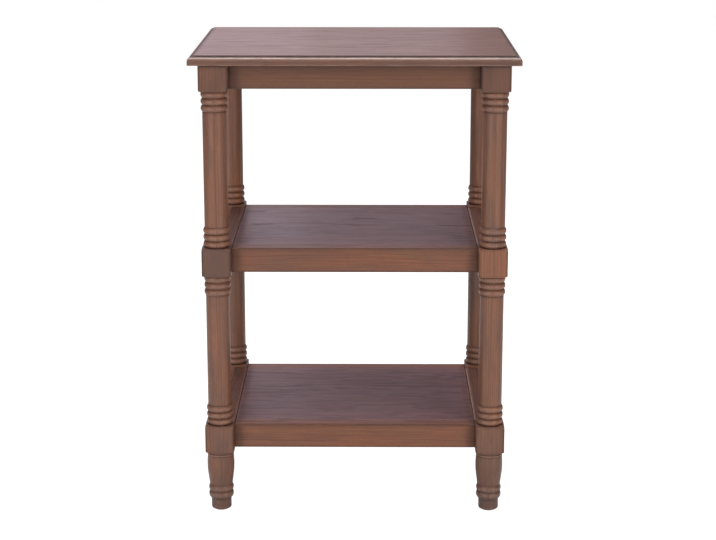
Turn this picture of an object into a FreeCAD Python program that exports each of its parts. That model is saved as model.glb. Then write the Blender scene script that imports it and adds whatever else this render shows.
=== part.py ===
import FreeCAD, Part
import math
import os
import re
from collections import namedtuple
import Sketcher

# Accent table: a moulded top and two railed shelves on four turned legs.
# Each leg is stacked from three turnings, screwed together above the middle and lower blocks.
# The origin is on the floor under the middle of the top. X runs left to right, Y front to back, Z up.

# Driving dimensions in millimetres: word, size, what it measures
SIZES = (
    ("table_height", 670, "floor to the upper face of the top"),
    ("top_width", 460, "top, left to right"),
    ("top_depth", 370, "top, front to back"),
    ("top_thickness", 13.5, "top, with its moulding"),
    ("top_overhang", 13.5, "top past the outer faces of the legs"),
    ("top_corner_radius", 2.5, "upright corners of the top"),
    ("moulding_width", 7.5, "inset of the raised field from the edge of the top"),
    ("moulding_step", 1.5, "height of the raised field above the moulding"),
    ("ovolo_radius", 6.8, "rounded part of the moulding"),
    ("field_arris", 0.4, "eased upper edge of the raised field"),
    ("middle_shelf_height", 392, "floor to the middle shelf"),
    ("lower_shelf_height", 128.5, "floor to the lower shelf"),
    ("block_side", 41, "square section of a leg block"),
    ("block_reveal", 3, "leg block past the rail, above and below"),
    ("apron_reveal", 2, "leg block below the apron"),
    ("block_arris", 0.8, "eased upright edges of a leg block"),
    ("shoulder_depth", 4.2, "how far the turned shoulder cuts into a block corner"),
    ("shoulder_rise", 4, "height of the turned shoulder"),
    ("column_radius", 17, "plain part of a turned column"),
    ("bead_radius", 19, "crest of a turned bead"),
    ("bead_groove_radius", 16.6, "groove between two beads"),
    ("bead_pitch", 9.7, "one bead"),
    ("bead_quirk", 0.8, "bevel from the last groove to the column"),
    ("tip_radius", 14.5, "plain tip of a foot"),
    ("tip_height", 13, "length of the plain tip"),
    ("tip_edge_radius", 2, "rounded lower edge of the tip"),
    ("tip_cove_height", 4.4, "cove between the tip and the beads"),
    ("foot_bead_radius", 18.1, "crest of a bead on the foot"),
    ("foot_groove_radius", 16.5, "groove between two beads on the foot"),
    ("foot_bead_pitch", 9.7, "one bead on the foot"),
    ("calf_radius", 18.9, "foot where its taper turns into the belly"),
    ("calf_rise", 18, "height of the taper above the beads"),
    ("belly_depth", 0.8, "belly of the foot past its two ends"),
    ("foot_crown_radius", 18.9, "upper end of the belly"),
    ("astragal_radius", 19.4, "crest of the small bead under the block"),
    ("neck_radius", 18.4, "neck between that bead and the block"),
    ("astragal_height", 3.6, "small bead under the block"),
    ("neck_height", 3.4, "neck under the block"),
    ("rail_thickness", 20, "rails and aprons, through the wood"),
    ("rail_height", 35, "shelf rails, top to bottom"),
    ("apron_height", 36.5, "aprons, top to bottom"),
    ("rail_arris", 0.8, "eased long edges of rails and aprons"),
    ("panel_thickness", 9, "shelf panels"),
    ("panel_gap", 0.8, "gap between a shelf panel and its rails"),
    ("panel_arris", 0.8, "eased upper edges of a shelf panel"),
    ("cleat_width", 14, "cleats under the shelf panels"),
    ("cleat_height", 14, "cleats under the shelf panels"),
    ("cleat_fit", 0.5, "gap at each end of a cleat"),
    ("dowel_radius", 3, "dowels between rails and blocks"),
    ("dowel_length", 30, "dowels between rails and blocks"),
    ("dowel_chamfer", 0.6, "ends of a dowel"),
    ("dowel_edge", 7, "lower edge of a front or back rail to its first dowel"),
    ("dowel_spacing", 15, "between the two dowels of a joint"),
    ("dowel_stagger", 7.5, "side rail dowels above front rail dowels"),
    ("stud_radius", 4, "threaded studs between stacked turnings"),
    ("stud_embed", 38, "stud in the upper turning"),
    ("stud_reach", 24, "stud in the lower turning"),
    ("stud_tip_radius", 1.5, "pointed end of a stud"),
    ("stud_tip_length", 6, "pointed end of a stud"),
    ("insert_radius", 6, "threaded inserts that take the studs"),
    ("insert_length", 18, "threaded inserts that take the studs"),
    ("metal_chamfer", 0.5, "eased ends of studs and inserts"),
    ("screw_radius", 1.9, "wood screws"),
    ("screw_head_radius", 3.8, "wood screws"),
    ("screw_head_height", 2.4, "countersunk head of a wood screw"),
    ("screw_point_length", 4, "pointed end of a wood screw"),
    ("recess_length", 4, "one arm to the other across a driver recess"),
    ("recess_width", 0.9, "one slot of a driver recess"),
    ("recess_depth", 1.4, "driver recess"),
    ("brace_leg", 48, "corner brace along each apron"),
    ("brace_height", 24, "corner brace, top to bottom"),
    ("brace_nose", 4, "blunt corner of a brace"),
    ("brace_grip", 10, "brace wood under a screw head"),
    ("brace_screw_inset", 30, "leg corner to an apron screw"),
    ("brace_bite", 13, "brace screw in the apron"),
    ("top_screw_inset", 14, "leg corner to a top screw, each way"),
    ("cleat_bite", 11, "cleat screw in the rail"),
    ("glide_radius", 11, "glides under the feet"),
    ("glide_thickness", 1.5, "glides under the feet"),
    ("glide_edge", 0.5, "eased lower edge of a glide"),
    ("nail_radius", 1, "nail of a glide"),
    ("nail_length", 12, "nail of a glide"),
    ("fit_clearance", 0.1, "all round a dowel, stud, insert, nail or screw in its hole"),
    ("cut_overrun", 2, "cutting shapes past the faces that they open"),
)
SIZE_WORDS = {word for word, size, note in SIZES}

# Shares of the size that each one follows
shoulder_bulge_share = 0.25
top_bite_share = 0.65
panel_bite_share = 0.6
long_cleat_screw_shares = (-0.4, 0, 0.4)
short_cleat_screw_shares = (-0.3, 0.3)
panel_screw_shares = (-0.2, 0.2)

# Lengths and levels worked out from the driving dimensions
LEG_X = "(top_width / 2 - top_overhang - block_side / 2)"
LEG_Y = "(top_depth / 2 - top_overhang - block_side / 2)"
INNER_X = "(top_width / 2 - top_overhang - block_side)"
INNER_Y = "(top_depth / 2 - top_overhang - block_side)"
LONG_RAIL = f"(2 * {INNER_X})"
SHORT_RAIL = f"(2 * {INNER_Y})"
TOP_UNDERSIDE = "(table_height - top_thickness)"
UPPER_JOINT = "(middle_shelf_height + block_reveal)"
LOWER_JOINT = "(lower_shelf_height + block_reveal)"
TOP_BLOCK = "(apron_height + apron_reveal)"
SHELF_BLOCK = "(rail_height + 2 * block_reveal)"
UPPER_COLUMN = f"({TOP_UNDERSIDE} - {TOP_BLOCK} - {UPPER_JOINT})"
MIDDLE_COLUMN = f"({UPPER_JOINT} - {SHELF_BLOCK} - {LOWER_JOINT})"
FOOT_TURNING = f"({LOWER_JOINT} - {SHELF_BLOCK} - glide_thickness)"
LONG_CLEAT = f"({LONG_RAIL} - 2 * cleat_fit)"
SHORT_CLEAT = f"({SHORT_RAIL} - 2 * cleat_width - 2 * cleat_fit)"
BRACE_SCREW = "(brace_grip + brace_bite)"
TOP_SCREW = f"(brace_height + {top_bite_share} * top_thickness)"
CLEAT_SCREW = "(cleat_width + cleat_bite)"
PANEL_SCREW = f"(cleat_height + {panel_bite_share} * panel_thickness)"
RAIL_INSET = "((block_side - rail_thickness) / 2)"

column_bead_count = 3
foot_bead_count = 2
# Two lengths this close count as equal where edges are chosen
equal_tolerance = 1e-4

# Where a piece stands: the sign of its X and of its Y, and its turn about the upright axis
Corner = namedtuple("Corner", "name sign_x sign_y degrees")
Side = namedtuple("Side", "name sign_x sign_y degrees is_long")
CORNERS = (
    Corner("front_left", -1, -1, 0),
    Corner("front_right", 1, -1, 90),
    Corner("back_right", 1, 1, 180),
    Corner("back_left", -1, 1, 270),
)
SIDES = (
    Side("front", 0, -1, 0, True),
    Side("right", 1, 0, 90, False),
    Side("back", 0, 1, 180, True),
    Side("left", -1, 0, 270, False),
)

UPRIGHT = FreeCAD.Rotation()
TOWARDS_X = FreeCAD.Rotation(FreeCAD.Vector(0, 1, 0), 90)
TOWARDS_Y = FreeCAD.Rotation(FreeCAD.Vector(1, 0, 0), -90)
BACK_FROM_X = FreeCAD.Rotation(FreeCAD.Vector(0, 1, 0), -90)
BACK_FROM_Y = FreeCAD.Rotation(FreeCAD.Vector(1, 0, 0), 90)

doc = FreeCAD.newDocument("accent_table")
sheet = doc.addObject("Spreadsheet::Sheet", "sizes")
sub_parts = []


def fill_sheet():
    """Write every driving dimension into the sheet under its own word."""
    for row, (word, size, note) in enumerate(SIZES, start=1):
        sheet.set(f"A{row}", note)
        sheet.set(f"B{row}", str(size))
        sheet.setAlias(f"B{row}", word)
    doc.recompute()


def formula(text):
    """The text as an expression, with each size read from the sheet."""
    def from_sheet(match):
        word = match[0]
        return f"sizes.{word}" if word in SIZE_WORDS else word

    return re.sub(r"[a-z_]+", from_sheet, text)


def value_of(text):
    """The number that an expression gives now."""
    return float(sheet.evalExpression(formula(text)))


def bind(thing, path, text):
    """Tie one property of an object to an expression."""
    thing.setExpression(path, formula(text))


def place(thing, x="0", y="0", z="0", rotation=UPRIGHT):
    """Turn an object and tie its position to expressions."""
    thing.Placement = FreeCAD.Placement(FreeCAD.Vector(), rotation)
    for axis, text in (("x", x), ("y", y), ("z", z)):
        if text != "0":
            bind(thing, f"Placement.Base.{axis}", text)


def turned(degrees):
    """A turn about the upright axis."""
    return FreeCAD.Rotation(FreeCAD.Vector(0, 0, 1), degrees)


def new_body(name):
    """An empty body."""
    return doc.addObject("PartDesign::Body", name)


def new_sketch(body, role, name, level="0"):
    """A sketch on one of the body's own origin planes, raised to a level."""
    sketch = body.newObject("Sketcher::SketchObject", name)
    plane = next(plane for plane in body.Origin.OriginFeatures if plane.Role == role)
    sketch.AttachmentSupport = [(plane, "")]
    sketch.MapMode = "FlatFace"
    if level != "0":
        bind(sketch, "AttachmentOffset.Base.z", level)
    return sketch


def constrain(sketch, kind, *places, text):
    """Add a dimension to a sketch and tie it to an expression."""
    number = sketch.addConstraint(Sketcher.Constraint(kind, *places, value_of(text)))
    bind(sketch, f"Constraints[{number}]", text)


def draw_rectangle(sketch, width, height):
    """A rectangle about the sketch's origin."""
    right = value_of(width) / 2
    upper = value_of(height) / 2
    corners = [(-right, -upper), (right, -upper), (right, upper), (-right, upper)]
    points = [FreeCAD.Vector(x, y, 0) for x, y in corners]
    for index, point in enumerate(points):
        sketch.addGeometry(Part.LineSegment(point, points[(index + 1) % 4]))
    for index in range(4):
        sketch.addConstraint(Sketcher.Constraint("Coincident", index, 2, (index + 1) % 4, 1))
    for index in (0, 2):
        sketch.addConstraint(Sketcher.Constraint("Horizontal", index))
    for index in (1, 3):
        sketch.addConstraint(Sketcher.Constraint("Vertical", index))
    sketch.addConstraint(Sketcher.Constraint("Symmetric", 0, 1, 1, 2, -1, 1))
    constrain(sketch, "DistanceX", 0, 1, 0, 2, text=width)
    constrain(sketch, "DistanceY", 1, 1, 1, 2, text=height)


def arc_between(start, end, bulge):
    """The arc that leaves the chord by bulge, to the right of the way from start to end."""
    chord = end - start
    aside = FreeCAD.Vector(chord.y, -chord.x, 0).normalize()
    radius = chord.Length ** 2 / (8 * abs(bulge)) + abs(bulge) / 2
    centre = (start + end) / 2 + aside * (bulge - math.copysign(radius, bulge))
    first, last = (start, end) if bulge > 0 else (end, start)
    angles = [math.atan2(point.y - centre.y, point.x - centre.x) for point in (first, last)]
    if angles[1] < angles[0]:
        angles[1] += 2 * math.pi
    return Part.ArcOfCircle(Part.Circle(centre, FreeCAD.Vector(0, 0, 1), radius), *angles)


def pin_point(sketch, edge, end, across, up):
    """Hold one end of an edge at its distances from the sketch's axes."""
    for kind, text, axis in (("DistanceX", across, -2), ("DistanceY", up, -1)):
        if text == "0":
            sketch.addConstraint(Sketcher.Constraint("PointOnObject", edge, end, axis))
        else:
            constrain(sketch, kind, -1, 1, edge, end, text=text)


def draw_outline(sketch, outline):
    """A closed outline of (across, up, bulge) points.

    A bulge makes the run from its point to the next one an arc. None keeps that run straight.
    """
    points = [FreeCAD.Vector(value_of(across), value_of(up), 0) for across, up, bulge in outline]
    ends = []
    for index, (across, up, bulge) in enumerate(outline):
        start, end = points[index], points[(index + 1) % len(points)]
        if bulge is None:
            sketch.addGeometry(Part.LineSegment(start, end))
            ends.append((1, 2))
        else:
            sketch.addGeometry(arc_between(start, end, value_of(bulge)))
            ends.append((1, 2) if value_of(bulge) > 0 else (2, 1))
    for index, (across, up, bulge) in enumerate(outline):
        after = (index + 1) % len(points)
        sketch.addConstraint(Sketcher.Constraint("Coincident", index, ends[index][1], after, ends[after][0]))
        pin_point(sketch, index, ends[index][0], across, up)
        if bulge is not None:
            next_across, next_up, next_bulge = outline[after]
            chord = f"(({next_across} - ({across}))^2 + ({next_up} - ({up}))^2)"
            size = f"abs({bulge})"
            constrain(sketch, "Radius", index, text=f"{chord} / (8 * {size}) + {size} / 2")


def turn_profile(body, name, outline):
    """Add the solid that an outline sweeps about the upright axis."""
    sketch = new_sketch(body, "XZ_Plane", f"{name}_outline")
    draw_outline(sketch, outline)
    turning = body.newObject("PartDesign::Revolution", name)
    turning.Profile = sketch
    turning.ReferenceAxis = (sketch, ["V_Axis"])
    turning.Angle = 360
    return turning


def groove_profile(body, name, outline):
    """Cut away what an outline sweeps about the upright axis."""
    sketch = new_sketch(body, "XZ_Plane", f"{name}_outline")
    draw_outline(sketch, outline)
    groove = body.newObject("PartDesign::Groove", name)
    groove.Profile = sketch
    groove.ReferenceAxis = (sketch, ["V_Axis"])
    groove.Angle = 360
    return groove


def pad_rectangle(body, role, name, width, height, length, level="0", side="One side"):
    """Add a box that stands on one of the body's origin planes."""
    sketch = new_sketch(body, role, f"{name}_outline", level)
    draw_rectangle(sketch, width, height)
    pad = body.newObject("PartDesign::Pad", name)
    pad.Profile = sketch
    pad.SideType = side
    bind(pad, "Length", length)
    return pad


def ease_edges(body, name, feature, radius, wanted):
    """Round the edges of a feature for which wanted is true."""
    doc.recompute()
    edges = [f"Edge{number}" for number, edge in enumerate(feature.Shape.Edges, start=1) if wanted(edge)]
    fillet = body.newObject("PartDesign::Fillet", name)
    fillet.Base = (feature, edges)
    bind(fillet, "Radius", radius)
    return fillet


def near(one, other):
    """Whether two lengths are equal for choosing edges."""
    return abs(one - other) < equal_tolerance


def runs_along(edge, axis):
    """Whether an edge is straight and parallel to an axis vector."""
    return isinstance(edge.Curve, Part.Line) and near(abs(edge.Curve.Direction.dot(axis)), 1)


def is_upright(edge):
    """Whether an edge is straight and upright."""
    return runs_along(edge, FreeCAD.Vector(0, 0, 1))


def lies_level(edge, height):
    """Whether a whole edge lies at one height."""
    return near(edge.BoundBox.ZMin, height) and near(edge.BoundBox.ZMax, height)


def copy_of(master, x="0", y="0", z="0", rotation=UPRIGHT):
    """One more standing of a master shape."""
    link = doc.addObject("App::Link", f"{master.Name}_copy")
    link.LinkedObject = master
    place(link, x, y, z, rotation)
    return link


def group(name, members):
    """Separate solids held as one object."""
    compound = doc.addObject("Part::Compound", name)
    compound.Links = members
    return compound


def drilled(name, blank, holes):
    """A blank with its holes cut. The blank itself stays as it is."""
    cut = doc.addObject("Part::Cut", name)
    cut.Base = blank
    cut.Tool = group(f"{name}_holes", holes)
    return cut


def keep(label, thing):
    """Hold an object as a sub-part under its own label."""
    thing.Label = label
    sub_parts.append(thing)
    return thing


def bead_points(base, radius, crest, pitch, count):
    """Outline points of round beads stacked up from a height, ending in the last groove."""
    points = [(radius, f"({base} + {index} * {pitch})", f"({crest} - {radius})") for index in range(count)]
    return points + [(radius, f"({base} + {count} * {pitch})", None)]


def make_column(body, length):
    """The turned part of an upper or middle leg, beaded at both ends."""
    beads = f"({column_bead_count} * bead_pitch)"
    bead_sizes = ("bead_groove_radius", "bead_radius", "bead_pitch", column_bead_count)
    outline = [("0", "0", None)]
    outline += bead_points("0", *bead_sizes)
    outline += [("column_radius", f"({beads} + bead_quirk)", None)]
    outline += [("column_radius", f"({length} - {beads} - bead_quirk)", None)]
    outline += bead_points(f"({length} - {beads})", *bead_sizes)
    outline += [("0", length, None)]
    return turn_profile(body, "column", outline)


def make_foot_turning(body):
    """The turned part of a foot: tip, cove, two beads, tapered belly, small bead and neck."""
    quarter = "(1 - sqrt(2) / 2)"
    bead_base = "(tip_height + tip_cove_height)"
    bead_sizes = ("foot_groove_radius", "foot_bead_radius", "foot_bead_pitch", foot_bead_count)
    bead_top = f"({bead_base} + {foot_bead_count} * foot_bead_pitch)"
    crown = f"({FOOT_TURNING} - neck_height - astragal_height)"
    outline = [
        ("0", "0", None),
        ("(tip_radius - tip_edge_radius)", "0", f"(tip_edge_radius * {quarter})"),
        ("tip_radius", "tip_edge_radius", None),
        ("tip_radius", "tip_height", f"(-tip_edge_radius * {quarter})"),
    ]
    outline += bead_points(bead_base, *bead_sizes)
    outline += [
        ("calf_radius", f"({bead_top} + calf_rise)", "belly_depth"),
        ("foot_crown_radius", crown, None),
        ("neck_radius", crown, "(astragal_radius - neck_radius)"),
        ("neck_radius", f"({crown} + astragal_height)", None),
        ("neck_radius", FOOT_TURNING, None),
        ("0", FOOT_TURNING, None),
    ]
    return turn_profile(body, "turning", outline)


def cut_shoulder(body, name, level, way):
    """Round the four corners of a block where it meets the turning at a level.

    The way is 1 where the block stands above the level and -1 where it hangs below it.
    """
    corner = "(block_side * sqrt(2) / 2)"
    far = f"({corner} + cut_overrun)"
    inner = f"({corner} - shoulder_depth)"
    past = f"({level} - {way} * cut_overrun)"
    back = f"({level} + {way} * shoulder_rise)"
    outline = [
        (corner, back, None),
        (far, back, None),
        (far, past, None),
        (inner, past, None),
        (inner, level, f"({way} * {shoulder_bulge_share} * shoulder_depth)"),
    ]
    return groove_profile(body, name, outline)


def make_leg_blank(name, turning_maker, length, block, shoulders):
    """A leg piece before drilling: a turning from the joint up, with a square block on it."""
    body = new_body(name)
    turning_maker(body)
    side = "block_side"
    pad = pad_rectangle(body, "XY_Plane", "block", side, side, block, level=length)
    ease_edges(body, "block_edges", pad, "block_arris", is_upright)
    doc.recompute()
    for level, way in shoulders:
        before = body.Tip.Shape.Volume
        cut_shoulder(body, "shoulder_above" if way < 0 else "shoulder_below", level, way)
        doc.recompute()
        if not body.Tip.Shape.Volume < before:
            raise ValueError(f"{name}: a shoulder cut nothing")
    return body


def make_screw(name, length):
    """A countersunk wood screw that points up, with the face of its head at zero."""
    body = new_body(name)
    outline = [
        ("0", "0", None),
        ("screw_head_radius", "0", None),
        ("screw_radius", "screw_head_height", None),
        ("screw_radius", f"({length} - screw_point_length)", None),
        ("0", length, None),
    ]
    turn_profile(body, "screw", outline)
    sketch = new_sketch(body, "XY_Plane", "slot_outline")
    draw_rectangle(sketch, "recess_length", "recess_width")
    slot = body.newObject("PartDesign::Pocket", "slot")
    slot.Profile = sketch
    slot.Reversed = True
    bind(slot, "Length", "recess_depth")
    doc.recompute()
    cross = body.newObject("PartDesign::PolarPattern", "recess")
    cross.Originals = [slot]
    cross.Axis = (sketch, ["N_Axis"])
    cross.Angle = 180
    cross.Occurrences = 2
    body.Tip = cross
    return body


def make_screw_space(name, length, access="cut_overrun"):
    """The hole for a screw, with a bore behind the head that lets it in."""
    body = new_body(name)
    wide = "(screw_head_radius + fit_clearance)"
    narrow = "(screw_radius + fit_clearance)"
    outline = [
        ("0", f"(0 - {access})", None),
        (wide, f"(0 - {access})", None),
        (wide, "0", None),
        (narrow, "screw_head_height", None),
        (narrow, f"({length} - screw_point_length)", None),
        ("0", f"({length} + fit_clearance)", None),
    ]
    turn_profile(body, "space", outline)
    return body


def make_dowel():
    """A dowel about its own middle, upright."""
    body = new_body("dowel")
    end = "(dowel_length / 2)"
    outline = [
        ("0", f"(0 - {end})", None),
        ("(dowel_radius - dowel_chamfer)", f"(0 - {end})", None),
        ("dowel_radius", f"(dowel_chamfer - {end})", None),
        ("dowel_radius", f"({end} - dowel_chamfer)", None),
        ("(dowel_radius - dowel_chamfer)", end, None),
        ("0", end, None),
    ]
    turn_profile(body, "pin", outline)
    return body


def make_rod(name, radius, low, high):
    """A plain upright rod from a low to a high level."""
    body = new_body(name)
    outline = [("0", low, None), (radius, low, None), (radius, high, None), ("0", high, None)]
    turn_profile(body, "rod", outline)
    return body


def make_stud():
    """A stud about the joint between two turnings: its point is screwed into the upper one."""
    body = new_body("stud")
    outline = [
        ("0", "(0 - stud_reach)", None),
        ("(stud_radius - metal_chamfer)", "(0 - stud_reach)", None),
        ("stud_radius", "(metal_chamfer - stud_reach)", None),
        ("stud_radius", "(stud_embed - stud_tip_length)", None),
        ("stud_tip_radius", "stud_embed", None),
        ("0", "stud_embed", None),
    ]
    turn_profile(body, "shank", outline)
    return body


def make_insert():
    """A threaded insert that lies flush with the block it is driven into."""
    body = new_body("insert")
    bore = "(stud_radius + fit_clearance)"
    outline = [
        (bore, "(0 - insert_length)", None),
        ("(insert_radius - metal_chamfer)", "(0 - insert_length)", None),
        ("insert_radius", "(metal_chamfer - insert_length)", None),
        ("insert_radius", "0", None),
        (bore, "0", None),
    ]
    turn_profile(body, "sleeve", outline)
    return body


def make_insert_space():
    """The hole for an insert, with a narrower one under it for the end of the stud."""
    body = new_body("insert_space")
    wide = "(insert_radius + fit_clearance)"
    narrow = "(stud_radius + fit_clearance)"
    floor = "(0 - stud_reach - fit_clearance)"
    outline = [
        ("0", floor, None),
        (narrow, floor, None),
        (narrow, "(0 - insert_length)", None),
        (wide, "(0 - insert_length)", None),
        (wide, "cut_overrun", None),
        ("0", "cut_overrun", None),
    ]
    turn_profile(body, "space", outline)
    return body


def make_glide():
    """A glide with its nail, from the floor up."""
    body = new_body("glide")
    outline = [
        ("0", "0", None),
        ("(glide_radius - glide_edge)", "0", None),
        ("glide_radius", "glide_edge", None),
        ("glide_radius", "glide_thickness", None),
        ("nail_radius", "glide_thickness", None),
        ("nail_radius", "(glide_thickness + nail_length)", None),
        ("0", "(glide_thickness + nail_length)", None),
    ]
    turn_profile(body, "disc_and_nail", outline)
    return body


def make_top_blank():
    """The top: a slab with an ovolo round its upper edge and a raised field above it."""
    body = new_body("top_blank")
    slab_height = "(top_thickness - moulding_step)"
    slab = pad_rectangle(body, "XY_Plane", "slab", "top_width", "top_depth", slab_height)
    corners = ease_edges(body, "slab_corners", slab, "top_corner_radius", is_upright)
    height = value_of(slab_height)
    ease_edges(body, "ovolo", corners, "ovolo_radius", lambda edge: lies_level(edge, height))
    doc.recompute()
    field_width = "(top_width - 2 * moulding_width)"
    field_depth = "(top_depth - 2 * moulding_width)"
    step = "moulding_step"
    field = pad_rectangle(body, "XY_Plane", "field", field_width, field_depth, step, level=slab_height)
    thickness = value_of("top_thickness")
    ease_edges(body, "field_edges", field, "field_arris", lambda edge: lies_level(edge, thickness))
    return body


def make_rail_blank(name, length, height):
    """A rail about its own middle, lying along X with its inner side towards +Y."""
    body = new_body(name)
    bar = pad_rectangle(body, "YZ_Plane", "bar", "rail_thickness", height, length, side="Symmetric")
    along = FreeCAD.Vector(1, 0, 0)
    ease_edges(body, "bar_edges", bar, "rail_arris", lambda edge: runs_along(edge, along))
    return body


def make_cleat_blank(name, length):
    """A cleat about its own middle, lying along X with its inner side towards +Y."""
    body = new_body(name)
    pad_rectangle(body, "YZ_Plane", "strip", "cleat_width", "cleat_height", length, side="Symmetric")
    return body


def make_panel_blank():
    """A shelf panel on its own underside."""
    body = new_body("panel_blank")
    width = f"({LONG_RAIL} - 2 * panel_gap)"
    depth = f"({SHORT_RAIL} - 2 * panel_gap)"
    board = pad_rectangle(body, "XY_Plane", "board", width, depth, "panel_thickness")
    height = value_of("panel_thickness")
    ease_edges(body, "board_edges", board, "panel_arris", lambda edge: lies_level(edge, height))
    return body


def make_brace_blank():
    """A corner brace with its blunt corner at the leg, spreading towards +X and +Y."""
    body = new_body("brace_blank")
    sketch = new_sketch(body, "XY_Plane", "brace_outline")
    outline = [
        ("brace_nose", "0", None),
        ("brace_leg", "0", None),
        ("0", "brace_leg", None),
        ("0", "brace_nose", None),
    ]
    draw_outline(sketch, outline)
    wedge = body.newObject("PartDesign::Pad", "wedge")
    wedge.Profile = sketch
    bind(wedge, "Length", "brace_height")
    return body


def dowel_levels(is_long):
    """Heights of a joint's dowels above the lower edge of its rail, long or short."""
    first = "dowel_edge" if is_long else "(dowel_edge + dowel_stagger)"
    return first, f"({first} + dowel_spacing)"


def leg_dowel_holes(rail_level, corner):
    """Dowel holes on the two inner faces of a leg block, above the level of the rails' lower edges."""
    face = "block_side / 2"
    spots = (
        (True, f"{-corner.sign_x} * {face}", f"{-corner.sign_y} * {RAIL_INSET}", TOWARDS_X),
        (False, f"{-corner.sign_x} * {RAIL_INSET}", f"{-corner.sign_y} * {face}", TOWARDS_Y),
    )
    holes = []
    for is_long, x, y, rotation in spots:
        for level in dowel_levels(is_long):
            holes.append(copy_of(dowel_space, x, y, f"({rail_level} + {level})", rotation))
    return holes


def stand_leg(name, blank, holes, corner, level):
    """Drill a leg piece and stand it at its corner."""
    label = f"{name}_{corner.name}"
    leg = keep(label, drilled(f"{label}_piece", blank, holes))
    place(leg, f"{corner.sign_x} * {LEG_X}", f"{corner.sign_y} * {LEG_Y}", level)


def make_legs():
    """Twelve turnings: an upper leg, a middle leg and a foot at each corner."""
    middle_top = f"({UPPER_JOINT} - {LOWER_JOINT})"
    foot_top = f"({LOWER_JOINT} - glide_thickness)"
    apron_level = f"({UPPER_COLUMN} + apron_reveal)"
    middle_rail_level = f"({MIDDLE_COLUMN} + block_reveal)"
    lower_rail_level = f"({FOOT_TURNING} + block_reveal)"
    for corner in CORNERS:
        upper = [copy_of(stud_space)] + leg_dowel_holes(apron_level, corner)
        stand_leg("upper_leg", upper_leg_blank, upper, corner, UPPER_JOINT)
        middle = [copy_of(stud_space), copy_of(insert_space, z=middle_top)]
        middle += leg_dowel_holes(middle_rail_level, corner)
        stand_leg("middle_leg", middle_leg_blank, middle, corner, LOWER_JOINT)
        foot = [copy_of(nail_space), copy_of(insert_space, z=foot_top)]
        foot += leg_dowel_holes(lower_rail_level, corner)
        stand_leg("foot", foot_blank, foot, corner, "glide_thickness")


def rail_dowels(master, length, height, is_long):
    """Copies of a dowel or its hole at both ends of a rail, in the rail's own frame."""
    copies = []
    for way in (-1, 1):
        for level in dowel_levels(is_long):
            spot = f"({level} - {height} / 2)"
            copies.append(copy_of(master, f"{way} * {length} / 2", "0", spot, TOWARDS_X))
    return copies


def cleat_screw_copies(master, length, shares, z="0", y="cleat_width / 2"):
    """Copies of a screw or its hole through a cleat into its rail."""
    return [copy_of(master, f"{share} * {length}", y, z, BACK_FROM_Y) for share in shares]


def panel_screw_copies(master, z):
    """Copies of a screw or its hole up through a long cleat, in the cleat's own frame."""
    return [copy_of(master, f"{share} * {LONG_CLEAT}", "0", z) for share in panel_screw_shares]


def stand_at_side(thing, side, inset, level):
    """Turn a piece to its side of the table, its middle a set distance outside the inner faces."""
    x = f"{side.sign_x} * ({INNER_X} + {inset})" if side.sign_x else "0"
    y = f"{side.sign_y} * ({INNER_Y} + {inset})" if side.sign_y else "0"
    place(thing, x, y, level, turned(side.degrees))
    return thing


def stand_rail(tier, side, blank, holes, height, level):
    """Drill a rail, stand it at its side of the table, and return its dowels."""
    length = LONG_RAIL if side.is_long else SHORT_RAIL
    middle = f"({level} + {height} / 2)"
    holes += rail_dowels(dowel_space, length, height, side.is_long)
    rail = keep(f"{tier}_{side.name}", drilled(f"{tier}_{side.name}_piece", blank, holes))
    stand_at_side(rail, side, "rail_thickness / 2", middle)
    dowels = group(f"{tier}_{side.name}_dowels", rail_dowels(dowel, length, height, side.is_long))
    return stand_at_side(copy_of(dowels), side, "rail_thickness / 2", middle)


def make_aprons():
    """The four aprons under the top, drilled for their corner braces, and their dowels."""
    level = f"({TOP_UNDERSIDE} - apron_height)"
    screw_depth = "(rail_thickness / 2 + brace_grip)"
    screw_height = "(apron_height - brace_height) / 2"
    dowels = []
    for side in SIDES:
        length = LONG_RAIL if side.is_long else SHORT_RAIL
        spots = [f"{way} * ({length} / 2 - brace_screw_inset)" for way in (-1, 1)]
        holes = [copy_of(brace_screw_space, spot, screw_depth, screw_height, BACK_FROM_Y) for spot in spots]
        blank = long_apron_blank if side.is_long else short_apron_blank
        dowels.append(stand_rail("apron", side, blank, holes, "apron_height", level))
    keep("apron_dowels", group("apron_dowel_set", dowels))


def make_shelf_rails(shelf, shelf_height):
    """The four rails of a shelf and their cleats, dowels and cleat screws."""
    cleat_level = f"({shelf_height} - panel_thickness - cleat_height / 2)"
    pilot_height = "(rail_height / 2 - panel_thickness - cleat_height / 2)"
    pilot_depth = "(rail_thickness / 2 + cleat_width)"
    dowels = []
    screws = []
    for side in SIDES:
        length = LONG_CLEAT if side.is_long else SHORT_CLEAT
        shares = long_cleat_screw_shares if side.is_long else short_cleat_screw_shares
        holes = cleat_screw_copies(cleat_screw_space, length, shares, pilot_height, pilot_depth)
        blank = long_rail_blank if side.is_long else short_rail_blank
        level = f"({shelf_height} - rail_height)"
        dowels.append(stand_rail(f"{shelf}_rail", side, blank, holes, "rail_height", level))
        make_cleat(shelf, side, length, shares, cleat_level)
        row = group(f"{shelf}_{side.name}_cleat_screws", cleat_screw_copies(cleat_screw, length, shares))
        screws.append(stand_at_side(copy_of(row), side, "(0 - cleat_width / 2)", cleat_level))
    keep(f"{shelf}_rail_dowels", group(f"{shelf}_rail_dowel_set", dowels))
    keep(f"{shelf}_rail_cleat_screws", group(f"{shelf}_cleat_screw_set", screws))


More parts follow.
